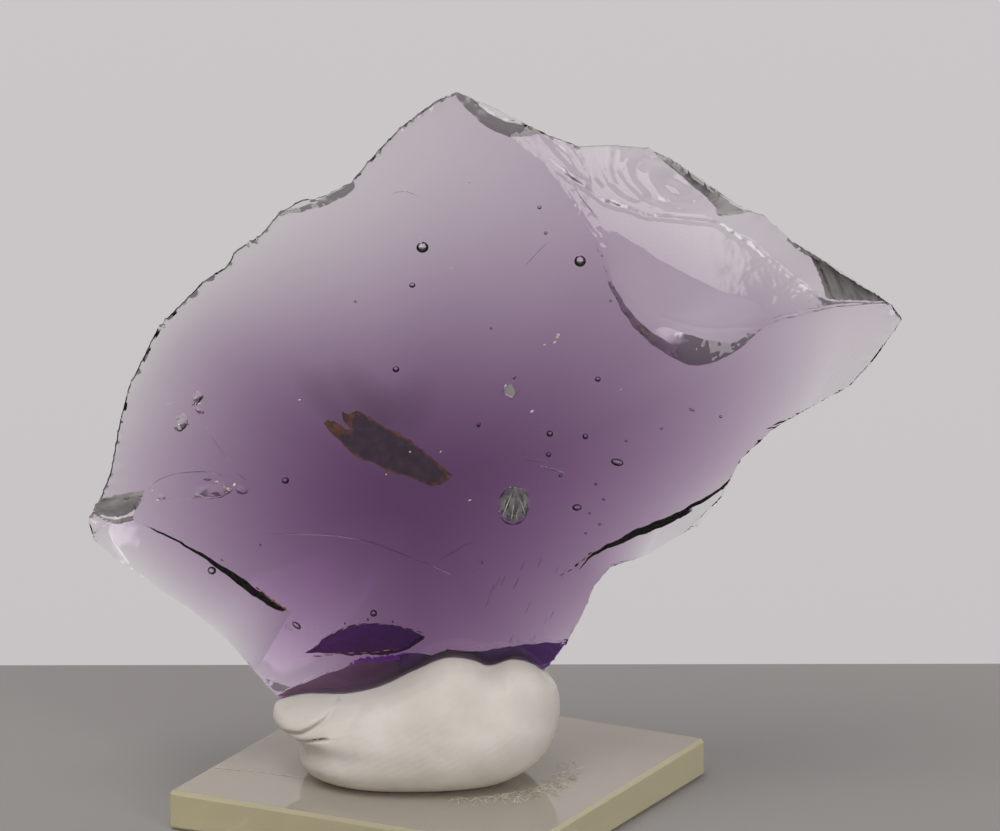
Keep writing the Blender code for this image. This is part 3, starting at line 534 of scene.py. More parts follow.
def roundRows(table, degrees):
    # smooth values round a closed table, whose rows start with their direction
    rows = [(table[-1][0] - 360, *table[-1][1:])] + list(table)
    rows += [(row[0] + 360, *row[1:]) for row in table[:2]]
    number = 1
    while number < len(rows) - 3 and rows[number + 1][0] <= degrees:
        number += 1
    return smoothBetween(rows[number - 1:number + 3], degrees)


def smoothRows(table, place):
    # smooth values between the rows of a table, whose rows start with their place
    number = 0
    while number < len(table) - 2 and table[number + 1][0] < place:
        number += 1
    last = len(table) - 1
    return smoothBetween([table[max(min(n, last), 0)] for n in range(number - 1, number + 3)], place)


def fallTowards(out):
    return roundRows(flake["fall"], math.degrees(math.atan2(out.y, out.x)))


def flakeThickness(distance, values):
    reach, rim, power = values
    soft = flake["rounding"]
    top = math.hypot(1.0, soft)
    fall = max((top - math.hypot(distance / reach, soft)) / (top - soft), 0.0)
    return rim + (flake["thickness"] - rim) * fall**power


def faceDepth(x, z, side, values=None):
    # how far the front (side -1) or back (side 1) of the blank stands from its middle plane
    out = Vector((x, z)) - Vector(flake["summit"])
    share = flake["frontShare"] if side < 0 else 1.0 - flake["frontShare"]
    return side * share * flakeThickness(out.length, values or fallTowards(out))


def outlinePoints(count):
    # points at equal distances along the closed outline
    points = [Vector(p) for p in flake["outline"]]
    closed = points + points[:1]
    lengths = [(b - a).length for a, b in zip(closed, closed[1:])]
    spacing = sum(lengths) / count
    found = []
    side, passed = 0, 0.0
    for number in range(count):
        while passed + lengths[side] < number * spacing:
            passed += lengths[side]
            side += 1
        share = (number * spacing - passed) / lengths[side]
        found.append(closed[side].lerp(closed[side + 1], share))
    return found


def rimChips(rng, spacing, segments):
    # for each column, the chips that cover it on the front (-1) and the back (1)
    covered = [[] for _ in range(segments)]
    for side in (-1, 1):
        place = 0.0
        while place < segments:
            half = rng.uniform(*flake["chipWidth"]) * rng.uniform(0.5, 1.0)
            length = rng.uniform(*flake["chipLength"]) * half
            depth = rng.uniform(*flake["chipDepth"])
            for column in range(int(place - half / spacing), int(place + half / spacing) + 1):
                across = (column - place) * spacing / half
                if abs(across) < 1.0:
                    covered[column % segments].append((side, 1.0 - across * across, length, depth))
            place += half * rng.uniform(0.9, 2.2) / spacing
    return covered


def chipCut(chips, side, inward):
    # how deep the rim's chips cut a face at a distance in from the rim
    cut = 0.0
    for chipSide, swell, length, depth in chips:
        if chipSide == side and inward < length * swell:
            cut = max(cut, depth * swell * (1.0 - inward / (length * swell)) ** 0.8)
    return cut


def flakeBlank(segments, rings):
    # a sphere whose poles are the middles of the two faces and whose equator is the rim
    rng = random.Random(flake["rimSeed"])
    rim = outlinePoints(segments)
    spacing = (rim[1] - rim[0]).length
    covered = rimChips(rng, spacing, segments)
    summit = Vector(flake["summit"])
    falls = [fallTowards(point - summit) for point in rim]
    bm = bmesh.new()
    bmesh.ops.create_uvsphere(
        bm, u_segments=segments, v_segments=rings, radius=1.0, matrix=Matrix.Rotation(math.pi / 2, 4, "X")
    )
    for vert in bm.verts:
        latitude = math.asin(max(-1.0, min(1.0, vert.co.y))) / (math.pi / 2)
        column = round(math.atan2(vert.co.z, vert.co.x) / (2 * math.pi) * segments) % segments
        share = 1.0 - abs(latitude) ** flake["crowding"]
        spoke = rim[column] - summit
        chips = covered[column]
        bite = flake["chipBite"] * max((chip[1] for chip in chips), default=0.0) - flake["chipBite"]
        place = summit + spoke * (share * (1.0 - bite * share**20 / spoke.length))
        inward = spoke.length * (1.0 - share)
        wander = flake["rimWander"] * noise.noise(Vector((place.x / 2.2, place.y / 2.2, 0.0)))
        if abs(latitude) < 0.5 / rings:
            depth = wander + chipCut(chips, -1, 0.0) - chipCut(chips, 1, 0.0)
        else:
            side = math.copysign(1, latitude)
            thick = faceDepth(place.x, place.y, side, falls[column])
            cut = min(chipCut(chips, side, inward), abs(thick) * 0.8)
            depth = thick - side * cut + wander * share**12
            depth += flake["faceWander"] * noise.noise(Vector((place.x / 4, place.y / 4, latitude)))
        vert.co = toMetres((place.x, depth, place.y))
    return meshObject("glass_flake_blank", bm)


def bowlCutter(name, values):
    (x, z), side, depth, lean, run, sizes = values
    deepest = Vector((x, faceDepth(x, z, side) - side * depth, z))
    out = Vector((lean[0], side, lean[1])).normalized()
    along = Vector((run[0], 0.0, run[1]))
    along = (along - out * along.dot(out)).normalized()
    across = out.cross(along)
    turn = Matrix((along, across, out)).transposed().to_4x4()
    centre = toMetres(deepest + out * sizes[2])
    bm = bmesh.new()
    bmesh.ops.create_uvsphere(bm, radius=1.0, **flake["bowlGrid"])
    scale = Matrix.Diagonal((*toMetres(sizes), 1.0))
    bmesh.ops.transform(bm, matrix=Matrix.Translation(centre) @ turn @ scale, verts=bm.verts)
    for vert in bm.verts:
        vert.co += noise.noise_vector(vert.co / mm * 1.9) * flake["bowlRough"] * sizes[2] * mm
    return meshObject("cut_" + name, bm)


def curveAt(curve, place):
    # a smooth curve through its stations; place counts stations
    number = min(int(place), len(curve) - 2)
    t = place - number
    a, b = curve[number], curve[number + 1]
    before = curve[number - 1] if number > 0 else tuple(2 * u - v for u, v in zip(a, b))
    after = curve[number + 2] if number + 2 < len(curve) else tuple(2 * v - u for u, v in zip(a, b))
    return [
        0.5 * (2 * q + (r - p) * t + (2 * p - 5 * q + 4 * r - s) * t * t + (3 * q - p - 3 * r + s) * t**3)
        for p, q, r, s in zip(before, a, b, after)
    ]


def awayFrom(route, here):
    # the distance from a point to a route of (x, z)
    best = 99.0
    for a, b in zip(route, route[1:]):
        start, run = Vector(a), Vector(b) - Vector(a)
        share = max(0.0, min(1.0, (here - start).dot(run) / run.length_squared))
        best = min(best, (here - start - run * share).length)
    return best


def scarRelief(x, z):
    # what the ripples and the raised lines add to the big scar's depth
    ripples = flake["ripples"]
    here = Vector((x, z))
    off = here - Vector(ripples["centre"])
    c, s = math.cos(ripples["turn"]), math.sin(ripples["turn"])
    away = math.hypot((off.x * c + off.y * s) / ripples["stretch"], off.y * c - off.x * s)
    wobble = noise.noise(Vector((x / 3.5, z / 3.5, 8.0)))
    above = max(0.0, min(1.0, (z - smoothRows(flake["crest"], x)[0] - 0.3) / 0.8))
    height = ripples["height"] * math.exp(-((away / ripples["reach"]) ** 2)) * above
    relief = height * math.sin(2 * math.pi * (away / ripples["gap"] + 0.35 * wobble))
    streak = noise.noise(Vector(((x * c + z * s) / 8.0, (z * c - x * s) / 0.8, 2.0)))
    relief += 0.010 * streak
    for rise, width, route in flake["scarRidges"]:
        gap = awayFrom(route, here)
        if gap < 3 * width:
            relief -= rise * math.exp(-((gap / width) ** 2))
    return relief


def sheetCutter(name, values, fine):
    # a sheet through the curves, drawn out to a block on the outer side of the glass
    side, leave, curves = values[:3]
    plane = values[3] if len(values) > 3 else None
    grain = flake["fineGrain"].get(name, flake["sheetGrain"]) * fine
    columns = int(max(
        sum(math.dist(a[:2], b[:2]) for a, b in zip(curve, curve[1:])) for curve in curves
    ) / grain)
    lines = [[curveAt(curve, n / columns * (len(curve) - 1)) for n in range(columns + 1)] for curve in curves]
    rows = [lines[0]]
    for low, high in zip(lines, lines[1:]):
        steps = max(1, int(max(math.dist(a[:2], b[:2]) for a, b in zip(low, high)) / grain))
        for step in range(1, steps + 1):
            share = step / steps
            rows.append([[p + (q - p) * share for p, q in zip(a, b)] for a, b in zip(low, high)])
    if plane:
        baseDepth = faceDepth(plane[0], plane[1], side) - side * plane[2]
    bm = bmesh.new()
    bmesh.ops.create_grid(bm, x_segments=columns, y_segments=len(rows) - 1, size=0.5)
    for vert in bm.verts:
        x, z, depth = rows[round((vert.co.y + 0.5) * (len(rows) - 1))][round((vert.co.x + 0.5) * columns)]
        here = Vector((x * 0.9, z * 0.9, 3.7))
        wander = noise.noise_vector(here) * 0.10 + noise.noise_vector(here * 3.4) * 0.05
        if plane:
            wander += noise.noise_vector(here * 8.0) * 0.09
        x, z = x + wander.x, z + wander.y
        out = Vector((x, z)) - Vector(flake["summit"])
        fall = fallTowards(out)
        thick = flakeThickness(out.length, fall)
        face = faceDepth(x, z, side, fall)
        if plane:
            lean = plane[3] * (x - plane[0]) + plane[4] * (z - plane[1])
            wave = 0.05 * noise.noise(Vector((x / 1.6, z / 2.4, 5.0)))
            wave += 0.05 * noise.noise(Vector(((x + z) / 0.5, (x - z) / 2.5, 9.0)))
            depth += side * (face - baseDepth) + lean + wave
        elif name == "upperRightScar" and depth > 0.0:
            depth += scarRelief(x, z) * min(1.0, depth / 0.3)
        depth = min(depth - 0.02, thick - leave)
        vert.co = toMetres((x, face - side * depth, z))
    for vert in drawnOut(bm, bm.faces):
        vert.co.y = side * flake["cutterReach"] * mm
    return meshObject("cut_" + name, bm)


def fluteCutter(name, values):
    # flat flutes that fan out from where the blow fell, drawn out to a block in front of them
    side, blow, ends = values
    bm = bmesh.new()
    bmesh.ops.create_circle(bm, cap_ends=True, cap_tris=True, segments=len(ends), radius=1.0)
    rim = [vert for vert in bm.verts if vert.co.length > 0.5]
    rim.sort(key=lambda vert: math.atan2(vert.co.y, vert.co.x))
    middle = next(vert for vert in bm.verts if vert.co.length < 0.5)
    for vert, (x, z, depth) in zip(rim + [middle], ends + [(*blow, -0.02)]):
        vert.co = toMetres((x, faceDepth(x, z, side) - side * depth, z))
    for vert in drawnOut(bm, bm.faces):
        vert.co.y = side * flake["cutterReach"] * mm
    return meshObject("cut_" + name, bm)


def scratchCutters(scratches):
    # round-bottomed hairlines that follow the face and run out at both ends
    lanes = 6
    bm = bmesh.new()
    for side, half, depth, route in scratches:
        steps = max(8, int(sum(math.dist(a, b) for a, b in zip(route, route[1:])) / 0.3))
        points = [Vector(curveAt(route, n / steps * (len(route) - 1))) for n in range(steps + 1)]
        made = bmesh.ops.create_grid(bm, x_segments=steps, y_segments=lanes, size=0.5)["verts"]
        for vert in made:
            number = round((vert.co.x + 0.5) * steps)
            across = round((vert.co.y + 0.5) * lanes) / (lanes / 2) - 1.0
            run = (points[min(number + 1, steps)] - points[max(number - 1, 0)]).normalized()
            place = points[number] + Vector((-run.y, run.x)) * across * half * 1.3
            taper = 1.15 * math.sin(math.pi * (number + 0.3) / (steps + 0.6)) ** 0.7
            sink = depth * (min(taper, 1.0) * (1.15 - 1.7 * across * across)) - 0.008
            vert.co = toMetres((place.x, faceDepth(place.x, place.y, side) - side * sink, place.y))
        faces = {face for vert in made for face in vert.link_faces}
        for vert in drawnOut(bm, faces):
            vert.co.y += side * 0.6 * mm  # well clear of the face
    return meshObject("cut_scratches", bm)


def hackleRoutes(rng):
    count, box, towards, halves, half, depth = flake["hackle"]
    run = Vector(towards).normalized()
    routes = []
    for number in range(count):
        # one to each strip of the box, so that no two cross
        x = box[0] + (box[1] - box[0]) * (number + 0.5) / count + rng.uniform(-0.05, 0.05)
        z = rng.uniform(box[2], box[3])
        length = rng.uniform(*halves)
        start, end = Vector((x, z)) - run * length, Vector((x, z)) + run * length
        routes.append((1, half, depth, [tuple(start), tuple((start + end) / 2), tuple(end)]))
    return routes


def bubbleCutters():
    bm = bmesh.new()
    for x, z, share, long, short, turn in flake["bubbles"]:
        front, back = faceDepth(x, z, -1), faceDepth(x, z, 1)
        size = Matrix.Diagonal((*toMetres((long, short, short)), 1.0))
        place = Matrix.Translation(toMetres((x, front + (back - front) * share, z)))
        tilt = Matrix.Rotation(math.radians(-turn), 4, "Y")
        bmesh.ops.create_uvsphere(bm, radius=1.0, matrix=place @ tilt @ size, **flake["bubbleGrid"])
    return meshObject("cut_bubbles", bm)


def tintFaces(obj, tintOf):
    # a colour for each face from the material its cutter left there; then one material is enough. On the
    # flake's darker facets the colour is painted shade, on the base's sides partly painted glow
    colours = [tintOf.get(slot.name, (1.0, 1.0, 1.0)) for slot in obj.material_slots]
    attribute = obj.data.attributes.new("tint_and_painted_light", "FLOAT_COLOR", "CORNER")
    for face in obj.data.polygons:
        for corner in face.loop_indices:
            attribute.data[corner].color = (*colours[face.material_index], 1.0)
        face.material_index = 0
    obj.data.materials.clear()


def clearMaterial(name, surface, volume):
    # coloured by its thickness, and on its surface by the tint, which is painted shade on the flake's darker
    # facets and partly painted glow on the base's sides
    material, tree, shader = newMaterial(name)
    setInputs(shader, surface)
    tint_and_painted_light = addNode(tree, "ShaderNodeAttribute", attribute_name="tint_and_painted_light")
    absorb = addNode(tree, "ShaderNodeVolumeAbsorption", volume)
    output = tree.nodes["Material Output"]
    wire(
        tree, (tint_and_painted_light.outputs["Color"], shader.inputs["Base Color"]),
        (absorb.outputs["Volume"], output.inputs["Volume"]),
    )
    return material


def buildFlake():
    fine = 1
    plain = bpy.data.materials.new("plain")
    # one material for each facet whose colour gets painted shade
    paintedShadeMaterials = {name: bpy.data.materials.new(name) for name in flake["tints_and_painted_light"]}
    blank = flakeBlank(flake["segments"] // fine, flake["rings"] // fine)
    blank.data.materials.append(plain)
    print("blank made")
    cutters = [sheetCutter(name, values, fine) for name, values in flake["sheets"].items()]
    cutters += [fluteCutter(name, values) for name, values in flake["flutes"].items()]
    cutters += [bowlCutter(name, values) for name, values in flake["bowls"].items()]
    hackle = hackleRoutes(random.Random(flake["hackleSeed"]))
    cutters.append(scratchCutters(list(flake["scratches"].values()) + hackle))
    cutters.append(bubbleCutters())
    for cutter in cutters:
        cutter.data.materials.append(paintedShadeMaterials.get(cutter.name.removeprefix("cut_"), plain))
    print("cutters made")
    obj = cutAway(blank, cutters, "glass_flake_fine")
    tintFaces(obj, flake["tints_and_painted_light"])
    obj.data.shade_smooth()
    obj.data.set_sharp_from_angle(angle=flake["sharpAngle"])
    obj.data.materials.append(clearMaterial("purple_glass", flake["surface"], flake["volume"]))
    for spare in [plain, *paintedShadeMaterials.values()]:
        bpy.data.materials.remove(spare)
    print("glass flake:", len(obj.data.polygons), "faces")
    return obj


glassFlake = buildFlake()
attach(glassFlake, "root")
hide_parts("glass_flake")


putty = {
    "foot": 3.175,  # it is pressed onto the base's top
    # levels from its foot to its crown: share of the rows, share of the height, left, right, front, back
    "levels": [
        (0.00, 0.00, -1.2, -1.0, -2.6, -2.4), (0.10, 0.00, -8.4, 4.6, -6.6, 3.2),
        (0.20, 0.05, -10.0, 6.6, -8.2, 4.6), (0.32, 0.22, -11.0, 8.3, -9.3, 5.6),
        (0.46, 0.46, -11.0, 9.3, -9.3, 5.9), (0.60, 0.66, -12.7, 9.6, -8.5, 5.4),
        (0.72, 0.83, -13.1, 9.5, -7.4, 4.6), (0.82, 0.94, -12.3, 9.0, -6.2, 3.7),
        (0.91, 0.99, -9.0, 6.6, -4.4, 2.2), (1.00, 1.00, -1.2, -1.0, -1.3, -1.1),
    ],
    # the height of its crown along X
    "top": [
        (-14.0, 9.0), (-11.0, 9.4), (-7.0, 9.6), (-4.2, 10.5), (-2.0, 11.6), (0.6, 12.7), (2.6, 12.5),
        (4.0, 11.9), (5.8, 12.4), (7.6, 12.0), (9.0, 11.0), (11.0, 10.0),
    ],
    "squareness": 2.4,
    "segments": 300,
    "rings": 190,
    "lumps": [(3.3, 0.16), (1.1, 0.035)],  # size and height of the lumps in its skin
    "colours": [(0.3, (0.66, 0.615, 0.555)), (0.7, (0.765, 0.73, 0.68))],
    "surface": {
        "Roughness": 0.62, "Subsurface Weight": 0.25, "Subsurface Radius": (0.0012, 0.0009, 0.0007),
        "Subsurface Scale": 1.0,
    },
    "ridgeTurn": math.radians(28.0),
    "lobeReach": 1.6,  # how far above a fold its lobe stands out, and how soon it starts to
    "lobeFrom": 0.25,
    # folds on its front: points (x, z), depth, width, and how far the lobe above stands out
    "folds": [
        ([(-13.7, 6.9), (-12.5, 7.2), (-11.7, 7.45), (-10.9, 7.65), (-9.7, 8.3), (-8.0, 9.4),
          (-6.9, 10.3)], 0.55, 0.12, 0.30),
        ([(-13.2, 6.2), (-11.5, 6.7), (-10.6, 7.0), (-9.7, 7.3), (-8.9, 7.5)], 0.45, 0.11, 0.03),
        ([(-7.1, 8.6), (-6.4, 9.3), (-5.8, 10.0)], 0.14, 0.12, 0.04),
        ([(4.3, 13.4), (4.3, 12.2), (5.1, 11.4)], 0.3, 0.4, 0.08),
    ],
}


def foldPush(x, z):
    # how far the folds press the front in, less what the lobe above each one stands out
    pushed = 0.0
    here = Vector((x, z))
    for route, depth, width, lobe in putty["folds"]:
        ends = [Vector(point) for point in route]
        best = None
        for a, b in zip(ends, ends[1:]):
            run = b - a
            share = max(0.0, min(1.0, (here - a).dot(run) / run.length_squared))
            away = here - a - run * share
            if best is None or away.length < best[0]:
                best = (away.length, run.x * away.y - run.y * away.x)
        away, turn = best
        pushed += depth * math.exp(-((away / width) ** 2))
        if turn > 0:
            full, begins = putty["lobeReach"], putty["lobeFrom"]
            pushed -= lobe * math.exp(-((away / full) ** 2)) * (1.0 - math.exp(-((away / begins) ** 2)))
    return pushed


def buildPutty():
    fine = 1
    bm = bmesh.new()
    columns, rows = putty["segments"] // fine, putty["rings"] // fine
    bmesh.ops.create_uvsphere(bm, u_segments=columns, v_segments=rows, radius=1.0)
    square = putty["squareness"]
    for vert in bm.verts:
        level = math.asin(max(-1.0, min(1.0, vert.co.z))) / math.pi + 0.5
        turn = math.atan2(vert.co.y, vert.co.x)
        height, left, right, front, back = smoothRows(putty["levels"], level)
        height = min(max(height, 0.0), 1.0)
        wide, deep = math.cos(turn), math.sin(turn)
        roundOff = (abs(wide) ** square + abs(deep) ** square) ** (1 / square)
        x = (left + right) / 2 + (right - left) / 2 * wide / roundOff
        y = (front + back) / 2 + (back - front) / 2 * deep / roundOff
        z = putty["foot"] + (smoothRows(putty["top"], x)[0] - putty["foot"]) * height
        lumps = sum(noise.noise(Vector((x, y, z)) / size) * rise for size, rise in putty["lumps"])
        out = Vector((wide, deep, 1.4 * (level - 0.45))).normalized()
        place = Vector((x, y, z)) + out * lumps * min(1.0, height * 8.0)
        front = max(0.0, min(1.0, (-deep - 0.1) * 3.0))  # the folds are on the front only
        if front > 0.0:
            place.y += foldPush(place.x, place.z) * front
        vert.co = toMetres(place)
    obj = meshObject("putty_fine", bm)
    obj.data.shade_smooth()
    obj.data.materials.append(puttyMaterial())
    return obj


def puttyMaterial():
    material, tree, shader = newMaterial("white_putty")
    coordinates = addNode(tree, "ShaderNodeTexCoord")
    mottle = addNode(tree, "ShaderNodeTexNoise", {"Scale": 260.0, "Detail": 5.0})
    colour = mottledColours(tree, mottle, putty["colours"])
    setInputs(shader, putty["surface"])
    # faint ridges left by a finger, and a fine grain
    turned = addNode(tree, "ShaderNodeMapping", {"Rotation": (0.0, putty["ridgeTurn"], 0.0)})
    waves = {"Scale": 640.0, "Distortion": 2.2, "Detail": 1.0, "Detail Scale": 0.25}
    ridges = addNode(tree, "ShaderNodeTexWave", waves, bands_direction="Z")
    grain = addNode(tree, "ShaderNodeTexNoise", {"Scale": 1500.0})
    both = addNode(tree, "ShaderNodeMath", {1: 0.35}, operation="MULTIPLY_ADD")
    bump = addNode(tree, "ShaderNodeBump", {"Strength": 0.16, "Distance": 0.00012})
    place = coordinates.outputs["Object"]
    wire(
        tree, (place, mottle.inputs["Vector"]), (colour, shader.inputs["Base Color"]),
        (place, turned.inputs["Vector"]), (turned.outputs["Vector"], ridges.inputs["Vector"]),
        (place, grain.inputs["Vector"]), (ridges.outputs["Fac"], both.inputs[0]),
        (grain.outputs["Fac"], both.inputs[2]), (both.outputs["Value"], bump.inputs["Height"]),
        (bump.outputs["Normal"], shader.inputs["Normal"]),
    )
    return material


puttyFine = buildPutty()
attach(puttyFine, "root")
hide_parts("putty_lump")
print("putty done")


base = {
    "side": 31.75,
    "thickness": 3.175,
    "turn": math.radians(-27.65),
    "chamfer": 0.28,
    "round": 0.05,
    # the sides' tint is brighter and yellower than the top's: the yellowed acrylic's edge colour, and painted
    # glow along its edges
    "tints_and_painted_light": {"base_flat": (0.75, 0.69, 0.60), "base_side_painted_glow": (1.0, 0.93, 0.64)},
    "surface": {"Roughness": 0.03, "Transmission Weight": 0.56, "IOR": 1.49},  # worn, so partly diffuse
    "volume": {"Color": (0.95, 0.87, 0.50, 1.0), "Density": 16.0},
}


def buildBase():
    bm = bmesh.new()
    bmesh.ops.create_cube(bm, size=1.0)
    size = Matrix.Diagonal((*toMetres((base["side"], base["side"], base["thickness"])), 1.0))
    lift = Matrix.Translation(toMetres((0.0, 0.0, base["thickness"] / 2)))
    turn = Matrix.Rotation(base["turn"], 4, "Z")
    bmesh.ops.transform(bm, matrix=turn @ lift @ size, verts=bm.verts)
    bmesh.ops.bevel(bm, geom=list(bm.edges), offset=base["chamfer"] * mm, segments=1, affect="EDGES")
    sharp = [edge for edge in bm.edges if edge.calc_face_angle() > math.radians(20.0)]
    bmesh.ops.bevel(bm, geom=sharp, offset=base["round"] * mm, segments=2, profile=0.5, affect="EDGES")
    obj = meshObject("acrylic_base_fine", bm)
    obj.data.shade_flat()
    for tint_and_painted_light in base["tints_and_painted_light"]:
        obj.data.materials.append(bpy.data.materials.new(tint_and_painted_light))
    for face in obj.data.polygons:
        face.material_index = int(abs(face.normal.z) < 0.95)  # the sides and the chamfers come second
    tintFaces(obj, base["tints_and_painted_light"])
    obj.data.materials.append(clearMaterial("yellowed_acrylic", base["surface"], base["volume"]))
    return obj


baseFine = buildBase()
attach(baseFine, "root")
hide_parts("acrylic_base")


marks = {
    "stainProud": 0.012,  # how far a film stands out of the glass
    "middleProud": 0.022,
    "filmRoot": 0.02,  # how far it reaches into the glass
    "filmRagged": 0.12,
    "filmSharp": math.radians(30.0),
    "crumbDepth": 0.05,
    "crumbRough": 0.5,  # in shares of a crumb's smaller size
    # a stain on the front of the glass, ragged at both ends, and its dark middle
    "stain": [
        (-9.0, 32.1), (-8.7, 32.35), (-8.2, 32.25), (-7.6, 31.9), (-7.1, 31.5), (-6.9, 31.7),
        (-7.5, 32.35), (-7.6, 33.0), (-7.0, 32.8), (-6.4, 33.1), (-5.4, 32.6), (-4.4, 31.9),
        (-3.2, 31.4), (-2.2, 30.8), (-1.3, 30.1), (-0.2, 29.2), (1.2, 28.0), (0.7, 27.95), (0.9, 27.7),
        (0.2, 27.3), (-0.7, 27.2), (-1.5, 27.6), (-2.7, 28.0), (-3.9, 28.3), (-4.7, 28.8), (-5.5, 29.2),
        (-6.0, 29.2), (-7.0, 29.9), (-7.7, 30.7), (-8.3, 31.2), (-8.8, 31.8),
    ],
    "stainMiddle": [
        (-7.7, 31.2), (-6.7, 31.2), (-6.8, 32.2), (-6.5, 32.9), (-5.4, 32.4), (-4.4, 31.75),
        (-3.2, 31.2), (-2.2, 30.6), (-1.3, 29.9), (-0.3, 29.05), (0.5, 28.2), (-0.1, 27.5), (-0.8, 27.4),
        (-1.5, 27.75), (-2.7, 28.15), (-3.9, 28.5), (-4.8, 28.95), (-6.0, 29.4), (-6.9, 30.05),
        (-7.5, 30.7),
    ],
    # places bruised to a dull grey
    "bruises": {
        "right_tip_bruise": [
            (27.4, 46.6), (28.0, 45.9), (28.5, 46.1), (28.9, 45.2), (29.4, 44.9), (30.0, 43.7),
            (30.3, 42.7), (30.6, 41.7), (31.6, 41.5), (32.5, 41.5), (34.0, 41.45), (35.4, 41.45),
            (34.7, 41.95), (33.9, 42.4), (32.7, 43.3), (31.5, 44.0), (30.3, 45.0), (29.0, 45.8),
            (28.2, 46.4),
        ],
        # the rim's bruise takes the lighter grey look: a bruise, and painted sheen over it
        "rim_bruise_and_sheen": [
            (16.9, 53.5), (17.6, 52.9), (18.6, 52.2), (19.7, 51.2), (20.9, 50.1), (21.9, 48.9),
            (22.0, 48.4), (23.0, 48.3), (23.9, 48.35), (24.3, 48.55), (23.5, 48.9), (22.6, 49.6),
            (21.5, 50.6), (20.6, 51.3), (19.6, 52.0), (18.6, 52.7), (17.6, 53.3),
        ],
        "left_tip_bruise": [
            (-27.0, 23.95), (-27.35, 24.3), (-27.1, 24.9), (-26.6, 25.4), (-25.8, 25.6), (-24.6, 25.9),
            (-23.2, 26.2), (-23.5, 25.3), (-23.9, 24.6), (-24.6, 23.9), (-25.4, 23.65), (-26.1, 23.7),
        ],
        "shell_bruise": [
            (5.9, 27.0), (5.3, 26.75), (4.95, 26.1), (4.85, 25.2), (5.1, 24.5), (5.5, 24.1),
            (6.0, 23.95), (6.5, 24.1), (6.85, 24.5), (7.1, 25.1), (7.2, 25.8), (6.95, 26.5),
            (6.45, 26.95),
        ],
    },
    # crumbs on the front: place (x, z), half sizes, turn in degrees
    "rust": [
        (-14.3, 18.3, 0.22, 0.07, -40), (-13.9, 17.95, 0.26, 0.08, -30), (-13.5, 17.6, 0.24, 0.08, -45),
        (-13.1, 17.3, 0.20, 0.09, 0), (-12.7, 17.0, 0.26, 0.08, -35), (-12.2, 16.7, 0.16, 0.08, 0),
        (-17.1, 20.6, 0.14, 0.05, -30), (12.0, 21.2, 0.20, 0.06, 40), (11.5, 20.7, 0.26, 0.08, 40),
        (11.0, 20.3, 0.28, 0.09, 45), (10.4, 19.8, 0.20, 0.06, 30), (9.8, 19.5, 0.22, 0.04, 30),
        (-9.6, 12.6, 0.34, 0.06, 0), (-8.7, 12.75, 0.36, 0.06, 5), (-7.8, 12.9, 0.34, 0.05, 6),
        (-6.8, 13.0, 0.36, 0.06, 6), (-5.9, 13.05, 0.30, 0.05, 0), (-5.0, 13.15, 0.34, 0.06, 8),
        (-4.1, 13.35, 0.30, 0.05, 8), (-3.3, 13.45, 0.28, 0.05, 10), (7.3, 55.5, 0.22, 0.08, -40),
    ],
    "dust": [
        (9.45, 39.0, 0.24, 0.12, 60), (9.2, 38.5, 0.16, 0.08, 20), (8.4, 38.3, 0.10, 0.06, 0),
        (7.4, 33.0, 0.16, 0.12, 30), (-2.2, 29.9, 0.10, 0.09, 0), (0.2, 29.9, 0.12, 0.05, 50),
        (2.5, 51.3, 0.10, 0.05, 0), (1.1, 44.4, 0.08, 0.05, 0), (14.4, 34.7, 0.10, 0.05, 20),
        (-10.9, 33.9, 0.09, 0.05, 0), (2.5, 26.0, 0.12, 0.06, 30), (-4.1, 28.1, 0.08, 0.05, 0),
        (-17.0, 26.7, 0.22, 0.10, 10), (-16.5, 26.5, 0.26, 0.12, -20), (-16.1, 26.9, 0.14, 0.10, 50),
        (-17.5, 27.1, 0.16, 0.06, 0), (-19.2, 33.8, 0.22, 0.10, 60), (-18.8, 33.4, 0.18, 0.10, 20),
        (-19.1, 34.3, 0.14, 0.06, 0), (-20.4, 31.2, 0.24, 0.10, -50), (-19.9, 31.7, 0.28, 0.12, -40),
        (-20.5, 32.0, 0.20, 0.08, 30), (-22.2, 25.4, 0.14, 0.08, 0), (-22.6, 26.2, 0.10, 0.06, 0),
    ],
    # bright ridges in the shell bruise: pale crumbs that paint the highlight along its ridges
    "shellGlintLines": [
        (5.45, 25.5, 1.0, 0.035, 68), (5.95, 25.4, 1.15, 0.04, 82), (6.6, 25.5, 0.95, 0.035, 108),
        (6.2, 24.6, 0.5, 0.03, 96),
    ],
    # dark beads along the top of the lens-shaped facet: black crumbs that paint the shade along its serrated
    # edge
    "shadeBeads": [
        (-9.6, 13.3, 0.30, 0.05, 42), (-8.7, 14.3, 0.42, 0.06, 42), (-7.8, 14.9, 0.36, 0.05, 28),
        (-6.9, 15.3, 0.40, 0.07, 16), (-6.0, 15.5, 0.34, 0.05, 6), (-5.0, 15.55, 0.40, 0.06, 2),
        (-4.1, 15.5, 0.30, 0.05, -4), (-3.2, 15.4, 0.36, 0.06, -8), (-2.3, 15.2, 0.34, 0.05, -12),
        (-1.5, 14.95, 0.24, 0.05, -14), (-5.6, 15.9, 0.12, 0.07, 90), (-7.4, 15.5, 0.10, 0.06, 90),
        (-3.6, 15.8, 0.10, 0.06, 90),
    ],
    # a rusty spot at the end of a fold in the putty
    "foldSpot": [(-9.2, 7.42, 0.30, 0.07, 12), (-9.75, 7.3, 0.22, 0.05, 14)],
}


